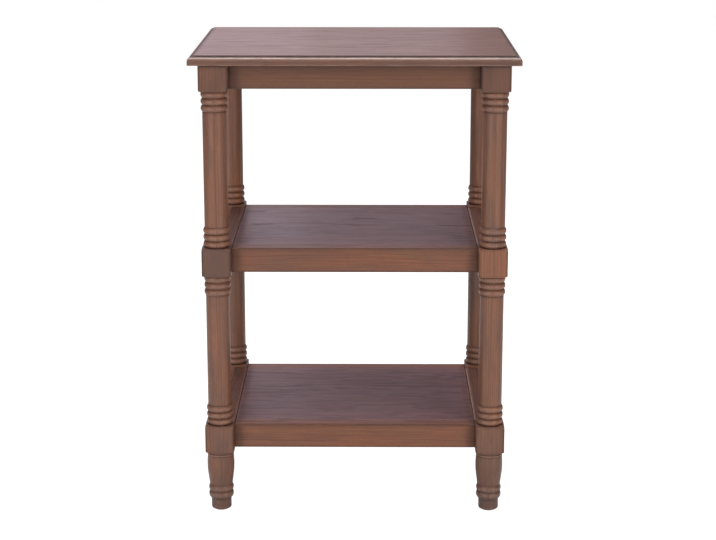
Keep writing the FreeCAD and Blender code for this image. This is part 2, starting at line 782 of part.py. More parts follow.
def make_cleat(shelf, side, length, shares, level):
    """One cleat, drilled for its rail and, on the long sides, for the shelf panel."""
    holes = cleat_screw_copies(cleat_screw_space, length, shares)
    if side.is_long:
        holes += panel_screw_copies(panel_screw_space, "(0 - cleat_height / 2)")
    blank = long_cleat_blank if side.is_long else short_cleat_blank
    label = f"{shelf}_cleat_{side.name}"
    cleat = keep(label, drilled(f"{label}_piece", blank, holes))
    stand_at_side(cleat, side, "(0 - cleat_width / 2)", level)


def panel_screw_sets(master, level):
    """Screws or their holes under both long edges of a shelf panel."""
    row = group(f"{master.Name}_row", panel_screw_copies(master, "0"))
    long_sides = [side for side in SIDES if side.is_long]
    return [stand_at_side(copy_of(row), side, "(0 - cleat_width / 2)", level) for side in long_sides]


def make_shelf(shelf, level):
    """A shelf panel flush with its rails, and the screws that hold it down on its cleats."""
    underside = f"({level} - panel_thickness)"
    holes = panel_screw_sets(panel_screw_space, "(0 - cleat_height)")
    panel = keep(f"{shelf}_shelf_panel", drilled(f"{shelf}_panel_piece", panel_blank, holes))
    place(panel, z=underside)
    screws = panel_screw_sets(panel_screw, f"({underside} - cleat_height)")
    keep(f"{shelf}_panel_screws", group(f"{shelf}_panel_screw_set", screws))


def at_each_corner(master, x, y, z):
    """Copies of a master at the four corners, at a distance from the middle each way."""
    copies = []
    for corner in CORNERS:
        spot = (f"{corner.sign_x} * {x}", f"{corner.sign_y} * {y}", z)
        copies.append(copy_of(master, *spot, turned(corner.degrees)))
    return copies


def brace_screw_pair(master):
    """The two apron screws of a brace or their holes, in the brace's own frame."""
    middle = "brace_height / 2"
    return [
        copy_of(master, "brace_grip", "brace_screw_inset", middle, BACK_FROM_X),
        copy_of(master, "brace_screw_inset", "brace_grip", middle, BACK_FROM_Y),
    ]


def make_braces():
    """A brace in each corner of the aprons, and the screws that hold the braces to them."""
    level = f"({TOP_UNDERSIDE} - brace_height)"
    for corner in CORNERS:
        holes = brace_screw_pair(brace_screw_space)
        holes += [copy_of(top_screw_space, "top_screw_inset", "top_screw_inset")]
        label = f"corner_brace_{corner.name}"
        brace = keep(label, drilled(f"{label}_piece", brace_blank, holes))
        spot = (f"{corner.sign_x} * {INNER_X}", f"{corner.sign_y} * {INNER_Y}", level)
        place(brace, *spot, turned(corner.degrees))
    pair = group("brace_screw_pair", brace_screw_pair(brace_screw))
    keep("brace_screws", group("brace_screw_set", at_each_corner(pair, INNER_X, INNER_Y, level)))


def make_top():
    """The top, drilled from below for the brace screws, and those screws."""
    reach_x = f"({INNER_X} - top_screw_inset)"
    reach_y = f"({INNER_Y} - top_screw_inset)"
    holes = at_each_corner(top_screw_space, reach_x, reach_y, "(0 - brace_height)")
    top = keep("table_top", drilled("table_top_piece", top_blank, holes))
    place(top, z=TOP_UNDERSIDE)
    level = f"({TOP_UNDERSIDE} - brace_height)"
    keep("top_screws", group("top_screw_set", at_each_corner(top_screw, reach_x, reach_y, level)))


def make_joint_metal():
    """Studs and inserts between the stacked turnings, and the glides under the feet."""
    for joint, level in (("upper", UPPER_JOINT), ("lower", LOWER_JOINT)):
        studs = at_each_corner(stud, LEG_X, LEG_Y, level)
        keep(f"{joint}_joint_studs", group(f"{joint}_stud_set", studs))
        inserts = at_each_corner(insert, LEG_X, LEG_Y, level)
        keep(f"{joint}_joint_inserts", group(f"{joint}_insert_set", inserts))
    keep("foot_glides", group("glide_set", at_each_corner(glide, LEG_X, LEG_Y, "0")))


def check_document():
    """Stop if any object failed, or any sub-part is empty or not valid."""
    for thing in doc.Objects:
        if {"Invalid", "Error"} & set(thing.State):
            raise ValueError(f"{thing.Name} failed: {thing.State}")
    labels = [thing.Label for thing in sub_parts]
    if len(set(labels)) != len(labels):
        raise ValueError("two sub-parts share a label")
    for thing in sub_parts:
        shape = thing.Shape
        if shape.isNull() or not shape.isValid() or not shape.Solids:
            raise ValueError(f"{thing.Label} has no valid shape")
        if thing.TypeId == "Part::Cut" and not shape.Volume < thing.Base.Shape.Volume:
            raise ValueError(f"{thing.Label}: its holes cut nothing")


def write_parts():
    """Write each sub-part to a file of its own."""
    os.makedirs("parts", exist_ok=True)
    for thing in sub_parts:
        thing.Shape.exportStep(f"parts/{thing.Label}.step")
        print(thing.Label, len(thing.Shape.Solids), "solids,", round(thing.Shape.Volume), "cubic millimetres")


fill_sheet()

# Fasteners, and the holes that hold them
dowel = make_dowel()
dowel_space = make_rod(
    "dowel_space", "(dowel_radius + fit_clearance)",
    "(0 - dowel_length / 2 - fit_clearance)", "(dowel_length / 2 + fit_clearance)",
)
stud = make_stud()
stud_space = make_rod(
    "stud_space", "(stud_radius + fit_clearance)", "(0 - cut_overrun)", "(stud_embed + fit_clearance)",
)
insert = make_insert()
insert_space = make_insert_space()
glide = make_glide()
nail_space = make_rod(
    "nail_space", "(nail_radius + fit_clearance)", "(0 - cut_overrun)", "(nail_length + fit_clearance)",
)
brace_screw = make_screw("brace_screw", BRACE_SCREW)
brace_screw_space = make_screw_space("brace_screw_space", BRACE_SCREW, access="brace_leg")
top_screw = make_screw("top_screw", TOP_SCREW)
top_screw_space = make_screw_space("top_screw_space", TOP_SCREW)
cleat_screw = make_screw("cleat_screw", CLEAT_SCREW)
cleat_screw_space = make_screw_space("cleat_screw_space", CLEAT_SCREW)
panel_screw = make_screw("panel_screw", PANEL_SCREW)
panel_screw_space = make_screw_space("panel_screw_space", PANEL_SCREW)

# Wooden pieces before drilling
top_blank = make_top_blank()
panel_blank = make_panel_blank()
brace_blank = make_brace_blank()
long_apron_blank = make_rail_blank("long_apron_blank", LONG_RAIL, "apron_height")
short_apron_blank = make_rail_blank("short_apron_blank", SHORT_RAIL, "apron_height")
long_rail_blank = make_rail_blank("long_rail_blank", LONG_RAIL, "rail_height")
short_rail_blank = make_rail_blank("short_rail_blank", SHORT_RAIL, "rail_height")
long_cleat_blank = make_cleat_blank("long_cleat_blank", LONG_CLEAT)
short_cleat_blank = make_cleat_blank("short_cleat_blank", SHORT_CLEAT)
upper_leg_blank = make_leg_blank(
    "upper_leg_blank", lambda body: make_column(body, UPPER_COLUMN), UPPER_COLUMN, TOP_BLOCK,
    shoulders=((UPPER_COLUMN, 1),),
)
middle_leg_blank = make_leg_blank(
    "middle_leg_blank", lambda body: make_column(body, MIDDLE_COLUMN), MIDDLE_COLUMN, SHELF_BLOCK,
    shoulders=((MIDDLE_COLUMN, 1), (f"({MIDDLE_COLUMN} + {SHELF_BLOCK})", -1)),
)
foot_blank = make_leg_blank(
    "foot_blank", make_foot_turning, FOOT_TURNING, SHELF_BLOCK,
    shoulders=((FOOT_TURNING, 1), (f"({FOOT_TURNING} + {SHELF_BLOCK})", -1)),
)

make_top()
make_legs()
make_aprons()
for shelf, shelf_height in (("middle", "middle_shelf_height"), ("lower", "lower_shelf_height")):
    make_shelf_rails(shelf, shelf_height)
    make_shelf(shelf, shelf_height)
make_braces()
make_joint_metal()

doc.recompute()
check_document()
write_parts()
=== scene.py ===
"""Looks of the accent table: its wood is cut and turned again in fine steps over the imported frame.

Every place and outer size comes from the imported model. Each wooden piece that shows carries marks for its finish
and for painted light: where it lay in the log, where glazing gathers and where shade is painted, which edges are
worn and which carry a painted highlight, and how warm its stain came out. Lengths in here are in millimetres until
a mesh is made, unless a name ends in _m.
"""

import logging
import math
from dataclasses import dataclass, field, replace
from enum import Enum
from typing import Iterable, Sequence

import bmesh
import bpy
import numpy as np
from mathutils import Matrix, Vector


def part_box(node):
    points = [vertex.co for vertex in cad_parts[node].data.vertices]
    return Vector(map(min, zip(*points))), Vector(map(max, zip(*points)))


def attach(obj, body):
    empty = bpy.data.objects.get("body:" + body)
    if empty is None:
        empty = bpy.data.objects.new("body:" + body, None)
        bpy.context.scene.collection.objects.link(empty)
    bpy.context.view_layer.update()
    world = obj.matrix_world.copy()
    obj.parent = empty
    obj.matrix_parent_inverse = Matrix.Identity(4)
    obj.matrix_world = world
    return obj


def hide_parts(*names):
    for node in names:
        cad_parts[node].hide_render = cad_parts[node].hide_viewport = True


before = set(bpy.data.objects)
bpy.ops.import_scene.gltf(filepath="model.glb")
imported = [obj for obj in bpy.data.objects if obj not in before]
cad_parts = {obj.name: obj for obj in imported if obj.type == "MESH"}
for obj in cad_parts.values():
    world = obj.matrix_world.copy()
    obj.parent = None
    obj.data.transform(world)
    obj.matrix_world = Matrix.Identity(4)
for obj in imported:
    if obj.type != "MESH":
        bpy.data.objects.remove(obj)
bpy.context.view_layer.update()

BODY = "root"
MM = 0.001
MERGE_DISTANCE_M = 1e-7
SHARP_ANGLE = math.radians(32)
CORNER_NAMES = ("front_left", "front_right", "back_right", "back_left")
SHELF_NAMES = ("middle", "lower")

logger = logging.getLogger("accent_table")

Colour = tuple[float, float, float, float]
Socket = bpy.types.NodeSocket
WHITE: Colour = (1.0, 1.0, 1.0, 1.0)
CARD_COLOUR: tuple[float, float, float] = (0.97, 0.86, 1.0)


class Mark(Enum):
    """The marks that a piece's points carry for its finish and for painted shade and highlights."""

    GRAIN = "grain"
    RECESS = "recess"
    EDGE = "edge"
    TINT = "tint"


class Grain(Enum):
    """Which way the fibres run: the axes along, across and through the board."""

    ALONG_X = (0, 1, 2)
    ALONG_Y = (1, 0, 2)
    ALONG_Z = (2, 0, 1)


class Turning(Enum):
    """The three turnings of a leg."""

    UPPER = "upper_leg"
    MIDDLE = "middle_leg"
    FOOT = "foot"


SIDE_GRAINS = {"front": Grain.ALONG_X, "right": Grain.ALONG_Y, "back": Grain.ALONG_X, "left": Grain.ALONG_Y}


def tone(red: int, green: int, blue: int) -> Colour:
    """A colour for a shader.

    Args:
        red: Red as a picture stores it, from 0 to 255.
        green: Green on the same scale.
        blue: Blue on the same scale.

    Returns:
        The same colour in linear light, with a solid alpha.
    """
    def linear(byte: int) -> float:
        """One channel in linear light."""
        share = byte / 255
        return share / 12.92 if share <= 0.04045 else ((share + 0.055) / 1.055) ** 2.4

    return linear(red), linear(green), linear(blue), 1.0


def fade(distance: float | np.ndarray, reach: float) -> float | np.ndarray:
    """How strong a mark still is at a distance from its middle.

    Args:
        distance: The distance in millimetres.
        reach: The distance at which about a third is left.

    Returns:
        A share from 1 at the middle down to 0.
    """
    return np.exp(-((distance / reach) ** 2))


# Meshes


@dataclass(frozen=True)
class LogPlace:
    """Where a piece lay in the log that it was sawn from.

    The log's heart is the line where across and through are zero.
    """

    grain: Grain
    along: float = 0.0
    across: float = 0.0
    through: float = 60.0

    def of_point(self, point: Sequence[float]) -> tuple[float, float, float]:
        """The point of the log at a point of the table, in millimetres."""
        along, across, through = (point[axis] for axis in self.grain.value)
        return along + self.along, across + self.across, through + self.through


class RingStack:
    """Closed rings of one count, each joined to the next into a skin.

    A ring that shrinks to a point or a line closes the skin, because points that meet are merged.
    """

    def __init__(self) -> None:
        """Start with no ring."""
        self.rings: list[np.ndarray] = []
        self.recess: list[np.ndarray] = []
        self.edge: list[np.ndarray] = []
        self.tints: list[float] = []
        self.tint = 0.0

    def add(self, ring: np.ndarray, recess: float | np.ndarray = 0.0, edge: float | np.ndarray = 0.0) -> None:
        """Lay the next ring, in the stack's present tint.

        Args:
            ring: The ring's points, one row each.
            recess: How dark glazing and painted shade make it there, from 0 to 1.
            edge: How much wear and a painted highlight lighten it there, from 0 to 1.
        """
        self.rings.append(ring)
        self.recess.append(np.broadcast_to(recess, len(ring)))
        self.edge.append(np.broadcast_to(edge, len(ring)))
        self.tints.append(self.tint)

    def to_mesh(self, name: str, place: LogPlace) -> bpy.types.Mesh:
        """Join the rings into a mesh with its marks.

        Args:
            name: The mesh's name.
            place: Where the piece lay in the log.

        Returns:
            The closed mesh in metres, smooth but for its sharp edges.
        """
        work = bmesh.new()
        grain_layer = work.verts.layers.float_vector.new(Mark.GRAIN.value)
        layers = [work.verts.layers.float.new(mark.value) for mark in (Mark.RECESS, Mark.EDGE, Mark.TINT)]
        rows = []
        for ring, recess, edge, tint in zip(self.rings, self.recess, self.edge, self.tints):
            row = []
            for point, depth, wear in zip(ring, recess, edge):
                vertex = work.verts.new(point * MM)
                vertex[grain_layer] = place.of_point(point)
                for layer, value in zip(layers, (depth, wear, tint)):
                    vertex[layer] = value
                row.append(vertex)
            rows.append(row)
        for row, following in zip(rows, rows[1:]):
            for index in range(len(row)):
                work.faces.new((row[index - 1], row[index], following[index], following[index - 1]))
        bmesh.ops.remove_doubles(work, verts=work.verts, dist=MERGE_DISTANCE_M)
        bmesh.ops.recalc_face_normals(work, faces=work.faces)
        mesh = bpy.data.meshes.new(name)
        work.to_mesh(mesh)
        work.free()
        mesh.shade_smooth()
        mesh.set_sharp_from_angle(angle=SHARP_ANGLE)
        return mesh


@dataclass(frozen=True)
class Outline:
    """A rectangle with rounded corners, drawn as a ring of points that are closest near its corners."""

    half_width: float
    half_height: float
    radius: float
    side_steps: int = 14
    corner_steps: int = 4
    arris_mark_reach: float = 0.9

    def ring(self, inset: float = 0.0) -> tuple[np.ndarray, np.ndarray]:
        """The outline, or one that lies a distance inside it.

        Args:
            inset: How far inside the outline the ring lies.

        Returns:
            The points in the outline's own plane, and how near each is to a corner, from 0 to 1.
        """
        radius = max(self.radius - inset, 0.0)
        reach = (self.half_width - inset - radius, self.half_height - inset - radius)
        shares = np.sin(np.linspace(-1, 1, self.side_steps + 1) * math.pi / 2)
        points: list[tuple[float, float]] = []
        nearness: list[float] = []
        for quarter in range(4):
            turn = quarter * math.pi / 2
            along, aside = reach if quarter % 2 == 0 else reach[::-1]
            flats = [(share * along, -aside - radius) for share in shares]
            starts = np.linspace(-math.pi / 2, 0, self.corner_steps + 1)[1:-1]
            arcs = [(along + radius * math.cos(angle), -aside + radius * math.sin(angle)) for angle in starts]
            for x, y in flats + arcs:
                points.append((x * math.cos(turn) - y * math.sin(turn), x * math.sin(turn) + y * math.cos(turn)))
            nearness += [float(fade((1 - abs(share)) * along, self.arris_mark_reach)) for share in shares]
            nearness += [1.0] * len(arcs)
        return np.array(points), np.array(nearness)


def quarter_round(radius: float, shares: Iterable[float]) -> list[tuple[float, float]]:
    """Points of an eased arris.

    Args:
        radius: Its radius.
        shares: Where the points lie, as shares of its quarter turn.

    Returns:
        How far each point lies from the face that the arris starts on and from the one that it ends on.
    """
    angles = [share * math.pi / 2 for share in shares]
    return [(radius * (1 - math.cos(angle)), radius * (1 - math.sin(angle))) for angle in angles]


def lift(flat: np.ndarray, height: float, middle: Sequence[float] = (0.0, 0.0)) -> np.ndarray:
    """Points of a level ring.

    Args:
        flat: The ring's points seen from above.
        height: The level that they lie on.
        middle: Where the ring's middle stands.

    Returns:
        The points with their height.
    """
    return np.column_stack([flat[:, 0] + middle[0], flat[:, 1] + middle[1], np.full(len(flat), height)])


def box_of(node: str) -> tuple[np.ndarray, np.ndarray]:
    """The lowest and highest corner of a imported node, in millimetres."""
    low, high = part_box(node)
    return np.array(low) / MM, np.array(high) / MM


def add_object(name: str, data: bpy.types.ID) -> bpy.types.Object:
    """Put an object into the scene.

    Args:
        name: Its name.
        data: Its mesh, lamp or camera.

    Returns:
        The object.
    """
    made = bpy.data.objects.new(name, data)
    bpy.context.scene.collection.objects.link(made)
    return made


def add_piece(stack: RingStack, node: str, material: bpy.types.Material, place: LogPlace) -> None:
    """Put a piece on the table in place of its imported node.

    Args:
        stack: The piece's rings.
        node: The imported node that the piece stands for.
        material: Its finish.
        place: Where it lay in the log.
    """
    name = f"{node}_wood"
    mesh = stack.to_mesh(name, place)
    mesh.materials.append(material)
    piece = add_object(name, mesh)
    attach(piece, BODY)
    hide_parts(node)
    logger.info("%s: %d faces", name, len(mesh.polygons))


# Shader nodes


class NodeSheet:
    """A node tree, with short ways to place and join its nodes."""

    def __init__(self, tree: bpy.types.NodeTree) -> None:
        """Work on a tree.

        Args:
            tree: The tree to fill.
        """
        self.tree = tree

    def node(self, kind: str, **settings: object) -> bpy.types.Node:
        """Place a node.

        Args:
            kind: The node's type.
            settings: Values for the node's own properties.

        Returns:
            The node.
        """
        made = self.tree.nodes.new(kind)
        for word, value in settings.items():
            setattr(made, word, value)
        return made

    def feed(self, socket: Socket, value: object) -> None:
        """Give an input a value, or a link when the value is another socket.

        Args:
            socket: The input.
            value: The value or the output to link.
        """
        if isinstance(value, bpy.types.NodeSocket):
            self.tree.links.new(value, socket)
        else:
            socket.default_value = value

    def fill(self, node: bpy.types.Node, inputs: dict[str, object]) -> bpy.types.Node:
        """Feed a node's inputs by name.

        Args:
            node: The node.
            inputs: Values or sockets by input.

        Returns:
            The node.
        """
        for word, value in inputs.items():
            self.feed(node.inputs[word], value)
        return node

    def placed(self, kind: str, inputs: Sequence[object], output: int | str = 0, **settings: object) -> Socket:
        """Place a node, feed its first inputs in order and return one output.

        Args:
            kind: The node's type.
            inputs: Values or sockets.
            output: The wanted output.
            settings: Values for the node's own properties.

        Returns:
            The output.
        """
        made = self.node(kind, **settings)
        for socket, value in zip(made.inputs, inputs):
            self.feed(socket, value)
        return made.outputs[output]

    def math(self, operation: str, *values: object) -> Socket:
        """The result of a math node."""
        return self.placed("ShaderNodeMath", values, operation=operation)

    def vector(self, operation: str, *values: object) -> Socket:
        """The result of a vector math node."""
        output = "Value" if operation in ("LENGTH", "DOT_PRODUCT") else "Vector"
        return self.placed("ShaderNodeVectorMath", values, output, operation=operation)

    def share(self, mask: Socket, amount: float, more: object) -> Socket:
        """A share of a mask and something more, kept between 0 and 1."""
        return self.placed("ShaderNodeMath", (mask, amount, more), operation="MULTIPLY_ADD", use_clamp=True)

    def ramp(self, value: Socket, low: float | Socket, high: float | Socket) -> Socket:
        """A smooth step from 0 at low to 1 at high."""
        inputs = (value, low, high, 0.0, 1.0)
        return self.placed("ShaderNodeMapRange", inputs, "Result", interpolation_type="SMOOTHSTEP")

    def noise(self, place: Socket, detail: float = 2.0, roughness: float = 0.5, output: str = "Fac") -> Socket:
        """Place a noise texture.

        Args:
            place: Where to read it, already scaled.
            detail: How many finer layers it has.
            roughness: How strong these are.
            output: The wanted output.

        Returns:
            That output.
        """
        settings = {"Vector": place, "Scale": 1.0, "Detail": detail, "Roughness": roughness}
        return self.fill(self.node("ShaderNodeTexNoise"), settings).outputs[output]

    def grain_noise(self, place: Socket, along: float, across: float, **choices: float | str) -> Socket:
        """Place a noise texture that is stretched along the grain.

        Args:
            place: Where the wood lay in the log.
            along: How many lumps there are in a millimetre along the grain.
            across: How many there are across it.
            choices: The detail, roughness and output that noise takes.

        Returns:
            The noise's wanted output.
        """
        return self.noise(self.vector("MULTIPLY", place, (along, across, across)), **choices)

    def blend(self, share: Socket | float, first: object, second: object) -> Socket:
        """Mix two colours.

        Args:
            share: How much of the second one there is, from 0 to 1.
            first: The first colour.
            second: The second colour.

        Returns:
            The mixed colour.
        """
        made = self.node("ShaderNodeMix", data_type="RGBA")
        for index, value in ((0, share), (6, first), (7, second)):
            self.feed(made.inputs[index], value)
        return made.outputs[2]

    def bump(self, height: Socket, strength: float, depth: float) -> Socket:
        """Place a bump node.

        Args:
            height: How high the surface stands, from 0 to 1.
            strength: How much of the bump shows.
            depth: How deep it is, in millimetres.

        Returns:
            The bent normal.
        """
        settings = {"Strength": strength, "Distance": depth * MM, "Height": height}
        return self.fill(self.node("ShaderNodeBump"), settings).outputs["Normal"]

    def group(self, tree: bpy.types.NodeTree, **inputs: object) -> bpy.types.Node:
        """Place a group.

        Args:
            tree: The group's tree.
            inputs: Its inputs by name.

        Returns:
            The group node.
        """
        return self.fill(self.node("ShaderNodeGroup", node_tree=tree), inputs)


class MaterialSheet(NodeSheet):
    """A material in the making."""

    def __init__(self, name: str) -> None:
        """Start a material.

        Args:
            name: The material's name.
        """
        self.material = bpy.data.materials.new(name)
        self.material.use_nodes = True
        super().__init__(self.material.node_tree)

    def surface(self, inputs: dict[str, object]) -> bpy.types.Material:
        """Feed the surface shader and give the material out.

        Args:
            inputs: Values or sockets by input.

        Returns:
            The material.
        """
        self.fill(self.tree.nodes["Principled BSDF"], inputs)
        return self.material


class GroupSheet(NodeSheet):
    """A shader node group in the making."""

    def __init__(self, name: str) -> None:
        """Start a group.

        Args:
            name: The group's name.
        """
        super().__init__(bpy.data.node_groups.new(name, "ShaderNodeTree"))
        self.entry = self.node("NodeGroupInput")
        self.exit = self.node("NodeGroupOutput")

    def takes(self, *numbers: str) -> list[Socket]:
        """Add the place in the log as an input, and numbers after it.

        Args:
            numbers: Their names.

        Returns:
            Where the group's own nodes read the place and each number.
        """
        kinds = {"place": "NodeSocketVector"} | dict.fromkeys(numbers, "NodeSocketFloat")
        for name, kind in kinds.items():
            self.tree.interface.new_socket(name=name, in_out="INPUT", socket_type=kind)
        return [self.entry.outputs[name] for name in kinds]

    def gives(self, **numbers: Socket) -> None:
        """Add output numbers.

        Args:
            numbers: Their values by name.
        """
        for name, value in numbers.items():
            self.tree.interface.new_socket(name=name, in_out="OUTPUT", socket_type="NodeSocketFloat")
            self.feed(self.exit.inputs[name], value)


class SharedEffects:
    """The node groups that the finishes share."""

    def __init__(self) -> None:
        """Build every group once."""
        self.figure = self.wood_figure()
        self.blotch = self.stain_blotch()
        self.glaze_and_light_marks = self.glaze_and_rub()
        self.film = self.lacquer_film()

    @staticmethod
    def wood_figure() -> bpy.types.NodeTree:
        """Growth rings round the log's heart, fine streaks and open pores.

        Returns:
            The group.
        """
        sheet = GroupSheet("wood_figure")
        place, ring_width, waviness = sheet.takes("ring_width", "waviness")
        ring_unevenness, faintest_ring, closed_share = 2.2, 0.3, 0.6
        wander = sheet.grain_noise(place, 1 / 170, 1 / 48, detail=3.0, roughness=0.55, output="Color")
        bend = sheet.vector("SUBTRACT", wander, (0.5, 0.5, 0.5))
        spread = sheet.placed("ShaderNodeCombineXYZ", (0.0, waviness, waviness))
        bent = sheet.vector("ADD", place, sheet.vector("MULTIPLY", bend, spread))
        off_heart = sheet.vector("LENGTH", sheet.vector("MULTIPLY", bent, (0.0, 1.0, 1.0)))
        uneven = sheet.math("MULTIPLY", sheet.grain_noise(bent, 0.004, 0.11, detail=1.0), ring_unevenness)
        rings = sheet.math("ADD", sheet.math("DIVIDE", off_heart, ring_width), uneven)
        phase = sheet.math("FRACT", rings)
        swell = sheet.ramp(phase, 0.25, 0.86)
        drop = sheet.math("SUBTRACT", 1.0, sheet.ramp(phase, 0.88, 1.0))
        number = sheet.math("FLOOR", rings)
        inputs = ((0.0, 0.0, 0.0), number)
        chance = sheet.placed("ShaderNodeTexWhiteNoise", inputs, "Value", noise_dimensions="1D")
        strength = sheet.math("MULTIPLY_ADD", chance, 1 - faintest_ring, faintest_ring)
        streaks = sheet.grain_noise(bent, 1 / 130, 1 / 1.5, detail=3.0, roughness=0.6)
        pores = sheet.ramp(sheet.grain_noise(bent, 1 / 9, 1 / 0.42, detail=1.0), 0.60, 0.72)
        open_wood = sheet.math("SUBTRACT", 1.0, sheet.math("MULTIPLY", swell, closed_share))
        sheet.gives(
            late_wood=sheet.math("MULTIPLY", sheet.math("MULTIPLY", swell, drop), strength),
            streaks=sheet.ramp(streaks, 0.28, 0.72), pores=sheet.math("MULTIPLY", pores, open_wood),
        )
        return sheet.tree

    @staticmethod
    def stain_blotch() -> bpy.types.NodeTree:
        """Patches where the stain took warmer or duller.

        Returns:
            The group.
        """
        sheet = GroupSheet("stain_blotch")
        place, patch_length, patch_width = sheet.takes("patch_length", "patch_width")
        size = sheet.placed("ShaderNodeCombineXYZ", (patch_length, patch_width, patch_width))
        scaled = sheet.vector("DIVIDE", place, size)
        elsewhere = (37.2, 11.8, 5.1)
        warm = sheet.noise(scaled, detail=3.0, roughness=0.55)
        dull = sheet.noise(sheet.vector("ADD", scaled, elsewhere), detail=3.0, roughness=0.6)
        sheet.gives(warm=sheet.ramp(warm, 0.42, 0.68), dull=sheet.ramp(dull, 0.45, 0.72))
        return sheet.tree

    @staticmethod
    def glaze_and_rub() -> bpy.types.NodeTree:
        """Dark glazing in recesses together with painted shade, and edges made paler by wear and a painted
        highlight.

        Returns:
            The group.
        """
        sheet = GroupSheet("glaze_and_rub")
        place, recess, edge = sheet.takes("recess", "edge")
        patch_share, thinnest_glaze = 0.7, 0.62
        patchy = sheet.grain_noise(place, 0.09, 0.16, detail=3.0, roughness=0.6)
        darkened = sheet.math("MULTIPLY", recess, sheet.math("MULTIPLY_ADD", patchy, patch_share, thinnest_glaze))
        glaze = sheet.placed("ShaderNodeClamp", (darkened,))
        fine = sheet.grain_noise(place, 0.05, 0.9, detail=4.0, roughness=0.65)
        sheet.gives(glaze=glaze, rub=sheet.math("MULTIPLY", edge, sheet.ramp(fine, 0.34, 0.66)))
        return sheet.tree

    @staticmethod
    def lacquer_film() -> bpy.types.NodeTree:
        """A thin film of satin lacquer that has sunk a little into the grain.

        Returns:
            The group.
        """
        sheet = GroupSheet("lacquer_film")
        place, pores, streaks, late, sheen, coat = sheet.takes(
            "pores", "streaks", "late_wood", "base_roughness", "full_coat"
        )
        cloud = sheet.grain_noise(place, 0.02, 0.035, detail=3.0)
        rough = sheen
        for mask, more in ((sheet.math("SUBTRACT", cloud, 0.5), 0.14), (pores, 0.16), (late, 0.1)):
            rough = sheet.math("MULTIPLY_ADD", mask, more, rough)
        sunk_late, sunk_streak = 0.55, 0.35
        sunk = sheet.math("MULTIPLY_ADD", late, sunk_late, sheet.math("MULTIPLY", streaks, sunk_streak))
        peel_height, streak_height, pore_depth = 0.5, 0.35, 0.8
        peel = sheet.math("MULTIPLY", sheet.grain_noise(place, 0.35, 0.6, detail=2.0), peel_height)
        height = sheet.math("MULTIPLY_ADD", streaks, streak_height, peel)
        sheet.gives(
            roughness=rough, coat=sheet.math("MULTIPLY", coat, sheet.math("SUBTRACT", 1.0, sunk)),
            height=sheet.math("MULTIPLY_ADD", pores, -pore_depth, height),
        )
        return sheet.tree


# Finishes


